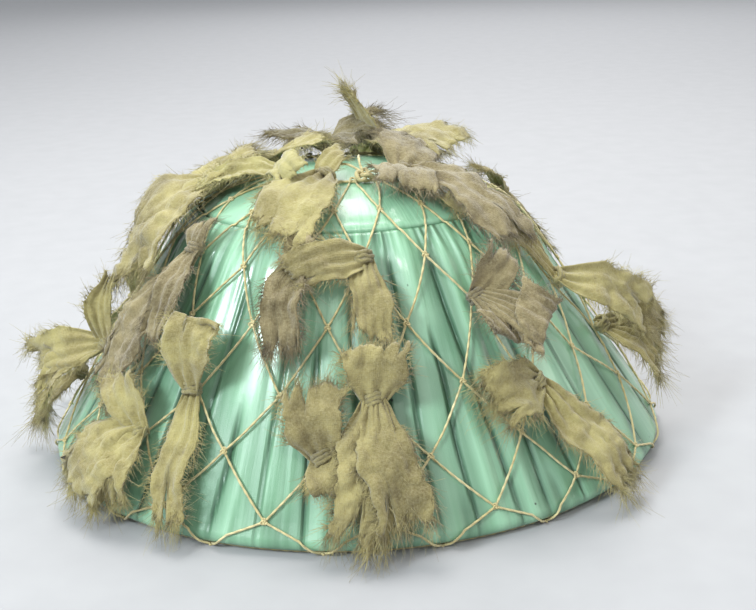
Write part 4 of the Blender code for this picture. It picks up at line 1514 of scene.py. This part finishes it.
def threads(points, plan, rng):
    """Thread paths from the end of a tail's grid, and from its sides, each shaped (thread, joint, 3)."""
    rows, columns = points.shape[:2]
    ends = plan["hairs"]
    column = rng.uniform(0, columns - 1.01, ends)
    base = between_columns(points, -1, column)
    before = between_columns(points, rows - 1 - rng.integers(2, 6, ends), column)
    way = unit(base - before)
    inset = rng.uniform(0, 0.9, (ends, 1)) ** 2
    base = base * (1 - inset) + before * inset

    borders = int(ends * 0.5 + plan["length"] * EDGE_THREADS)
    row = rng.integers(int(rows * 0.25), rows - 1, borders)
    edge = rng.integers(0, 2, borders) * (columns - 1)
    inner = np.where(edge == 0, 1, columns - 2)
    side_base = points[row, edge]
    outward = unit(side_base - points[row, inner])
    onward = unit(points[row + 1, edge] - side_base)
    side_way = unit(outward + 0.7 * onward)

    fringe = plan["fringe"] / 1000
    long = fringe * rng.uniform(*LONG_THREADS, ends) * rng.choice([1, 1, 1, 1.3], ends)
    short = rng.uniform(*SHORT_THREADS, borders) * rng.choice([1, 1, 1, 1.6], borders)
    return [
        loose_ends(base, way, long, LONG_JOINTS, rng),
        loose_ends(side_base, side_way, short, SHORT_JOINTS, rng),
    ]


def thread_tubes(patches, paths):
    """Thin tubes round many paths at once."""
    count, joints = paths.shape[:2]
    ahead = unit(np.gradient(paths, axis=1))
    across = unit(np.cross(ahead, np.array((0.31, 0.42, 0.85))))
    rise = np.cross(across, ahead)
    thin = THREAD_RADIUS * np.linspace(1.0, THREAD_TIP, joints)[None, :, None, None]
    angle = (2 * np.pi * np.arange(THREAD_SIDES) / THREAD_SIDES)[None, None, :, None]
    ring = np.cos(angle) * across[:, :, None] + np.sin(angle) * rise[:, :, None]
    rings = paths[:, :, None] + thin * ring
    number = np.arange(count)[:, None, None] * joints * THREAD_SIDES
    joint, side = np.meshgrid(np.arange(joints - 1), np.arange(THREAD_SIDES), indexing="ij")
    near, far = joint * THREAD_SIDES, (joint + 1) * THREAD_SIDES
    following = (side + 1) % THREAD_SIDES
    corners = [near + side, near + following, far + following, far + side]
    faces = np.stack([number + corner[None] for corner in corners], -1).reshape(-1, 4)
    patches.faces.append(faces + patches.count)
    patches.points.append(rings.reshape(-1, 3))
    patches.uvs.append(np.zeros((len(faces) * 4, 2)))
    patches.count += count * joints * THREAD_SIDES


# %% [markdown]
# ### The rag cloth
# The cloth was dyed khaki and has gone unevenly brown, yellow and grey. The weave is drawn by two
# crossed waves on the UV map, which is in metres, so its threads have their real size on every tail.

# %% Rag cloth
RAG_TONES = {
    # tone: (darker, lighter)
    "light": ((0.170, 0.136, 0.048), (0.38, 0.332, 0.130)),
    "mid": ((0.125, 0.098, 0.036), (0.36, 0.308, 0.125)),
    "brown": ((0.095, 0.070, 0.032), (0.275, 0.222, 0.112)),
    "dark": ((0.065, 0.049, 0.020), (0.20, 0.163, 0.070)),
    "yellow": ((0.200, 0.170, 0.058), (0.42, 0.380, 0.155)),
}
WEAVE = 0.0008


def rag_finish(tone):
    darker, lighter = RAG_TONES[tone]
    finish = Finish("rag_" + tone)
    place = finish.coordinate("Object")
    across, along = finish.split_xy(finish.coordinate("UV", (math.tau / WEAVE, math.tau / WEAVE, 1)))
    weave = across.sine() * 0.5 + along.sine() * 0.5
    cloud = finish.noise(place, 45.0, 5.0, 0.6)
    fibre = finish.noise(place, 900.0, 3.0, 0.7)
    dirt = finish.noise(place, 160.0, 3.0, 0.6)
    base = finish.mix(cloud.above(0.32, 0.68), darker, lighter)
    base = finish.mix(dirt.above(0.60, 0.78) * 0.5, base, (0.075, 0.055, 0.03))
    base = finish.mix(fibre.above(0.35, 0.75) * 0.30, base, (0.55, 0.50, 0.30))
    finish.set(
        # Painted shade: the low places of the weave are darkened towards the darker tone.
        Base_Color=finish.mix(weave.above(-0.9, -0.2) * -0.15 + 0.15, base, darker),
        Roughness=0.95,
        Normal=finish.bump(weave * 0.15 + fibre * 0.9 + dirt * 2.4, 0.0005, 0.9),
    )
    finish.set(Sheen_Weight=0.35, Sheen_Roughness=0.5, Specular_IOR_Level=0.2)
    return finish.material


def thread_finish(tone):
    darker, lighter = RAG_TONES[tone]
    finish = Finish("threads_" + tone)
    cloud = finish.noise(finish.coordinate("Object"), 160.0, 3.0)
    finish.set(
        Base_Color=finish.mix(cloud.above(0.3, 0.7), darker, tuple(min(1.0, x * 1.25) for x in lighter)),
        Roughness=0.85,
    )
    finish.set(Sheen_Weight=0.3)
    return finish.material


CLOTHS = {tone: rag_finish(tone) for tone in RAG_TONES}
FIBRES = {tone: thread_finish(tone) for tone in RAG_TONES}


# %% Tie every rag
THREAD_SEED = 100
WRAP_SEED = 500
TAIL_SEED = 1000


def add_rag(number, name, row, column, tone, tails):
    start = knot_place(row, column)
    rng = np.random.default_rng(THREAD_SEED + number)
    cloth = Patches()
    fringe = Patches()
    for index, plan in enumerate(tails):
        points, u, v = tail_grid(start, plan, TAIL_SEED + 20 * number + 7 * index)
        cloth.grid(points, u, v)
        for paths in threads(points, plan, rng):
            thread_tubes(fringe, paths)
    piece = cloth.make("cloth_" + name)
    give_wall(piece, CLOTH_WALL, 0.0)
    wrap = Patches()
    path, way = knot_wrap(start, tails[-1]["heading"], WRAP_SEED + number)
    wrap.rings(*cord_rings(path, way, WRAP_CLOTH, lobe=WRAP_LOBE))
    band = wrap.make("wrap_" + name)
    weld(band)
    select_only(piece)
    band.select_set(True)
    bpy.ops.object.join()
    hairs = fringe.make("threads_" + name)
    finish_piece(hairs, FIBRES[tone], "rag_cloth")
    finish_piece(piece, CLOTHS[tone], "rag_cloth", "rag_" + name)
    width = max(plan["width"] for plan in tails)
    length = sum(plan["length"] * plan["width"] for plan in tails) / width + math.tau * WRAP_RADIUS


for number, (name, entry) in enumerate(RAGS.items()):
    add_rag(number, name, *entry)
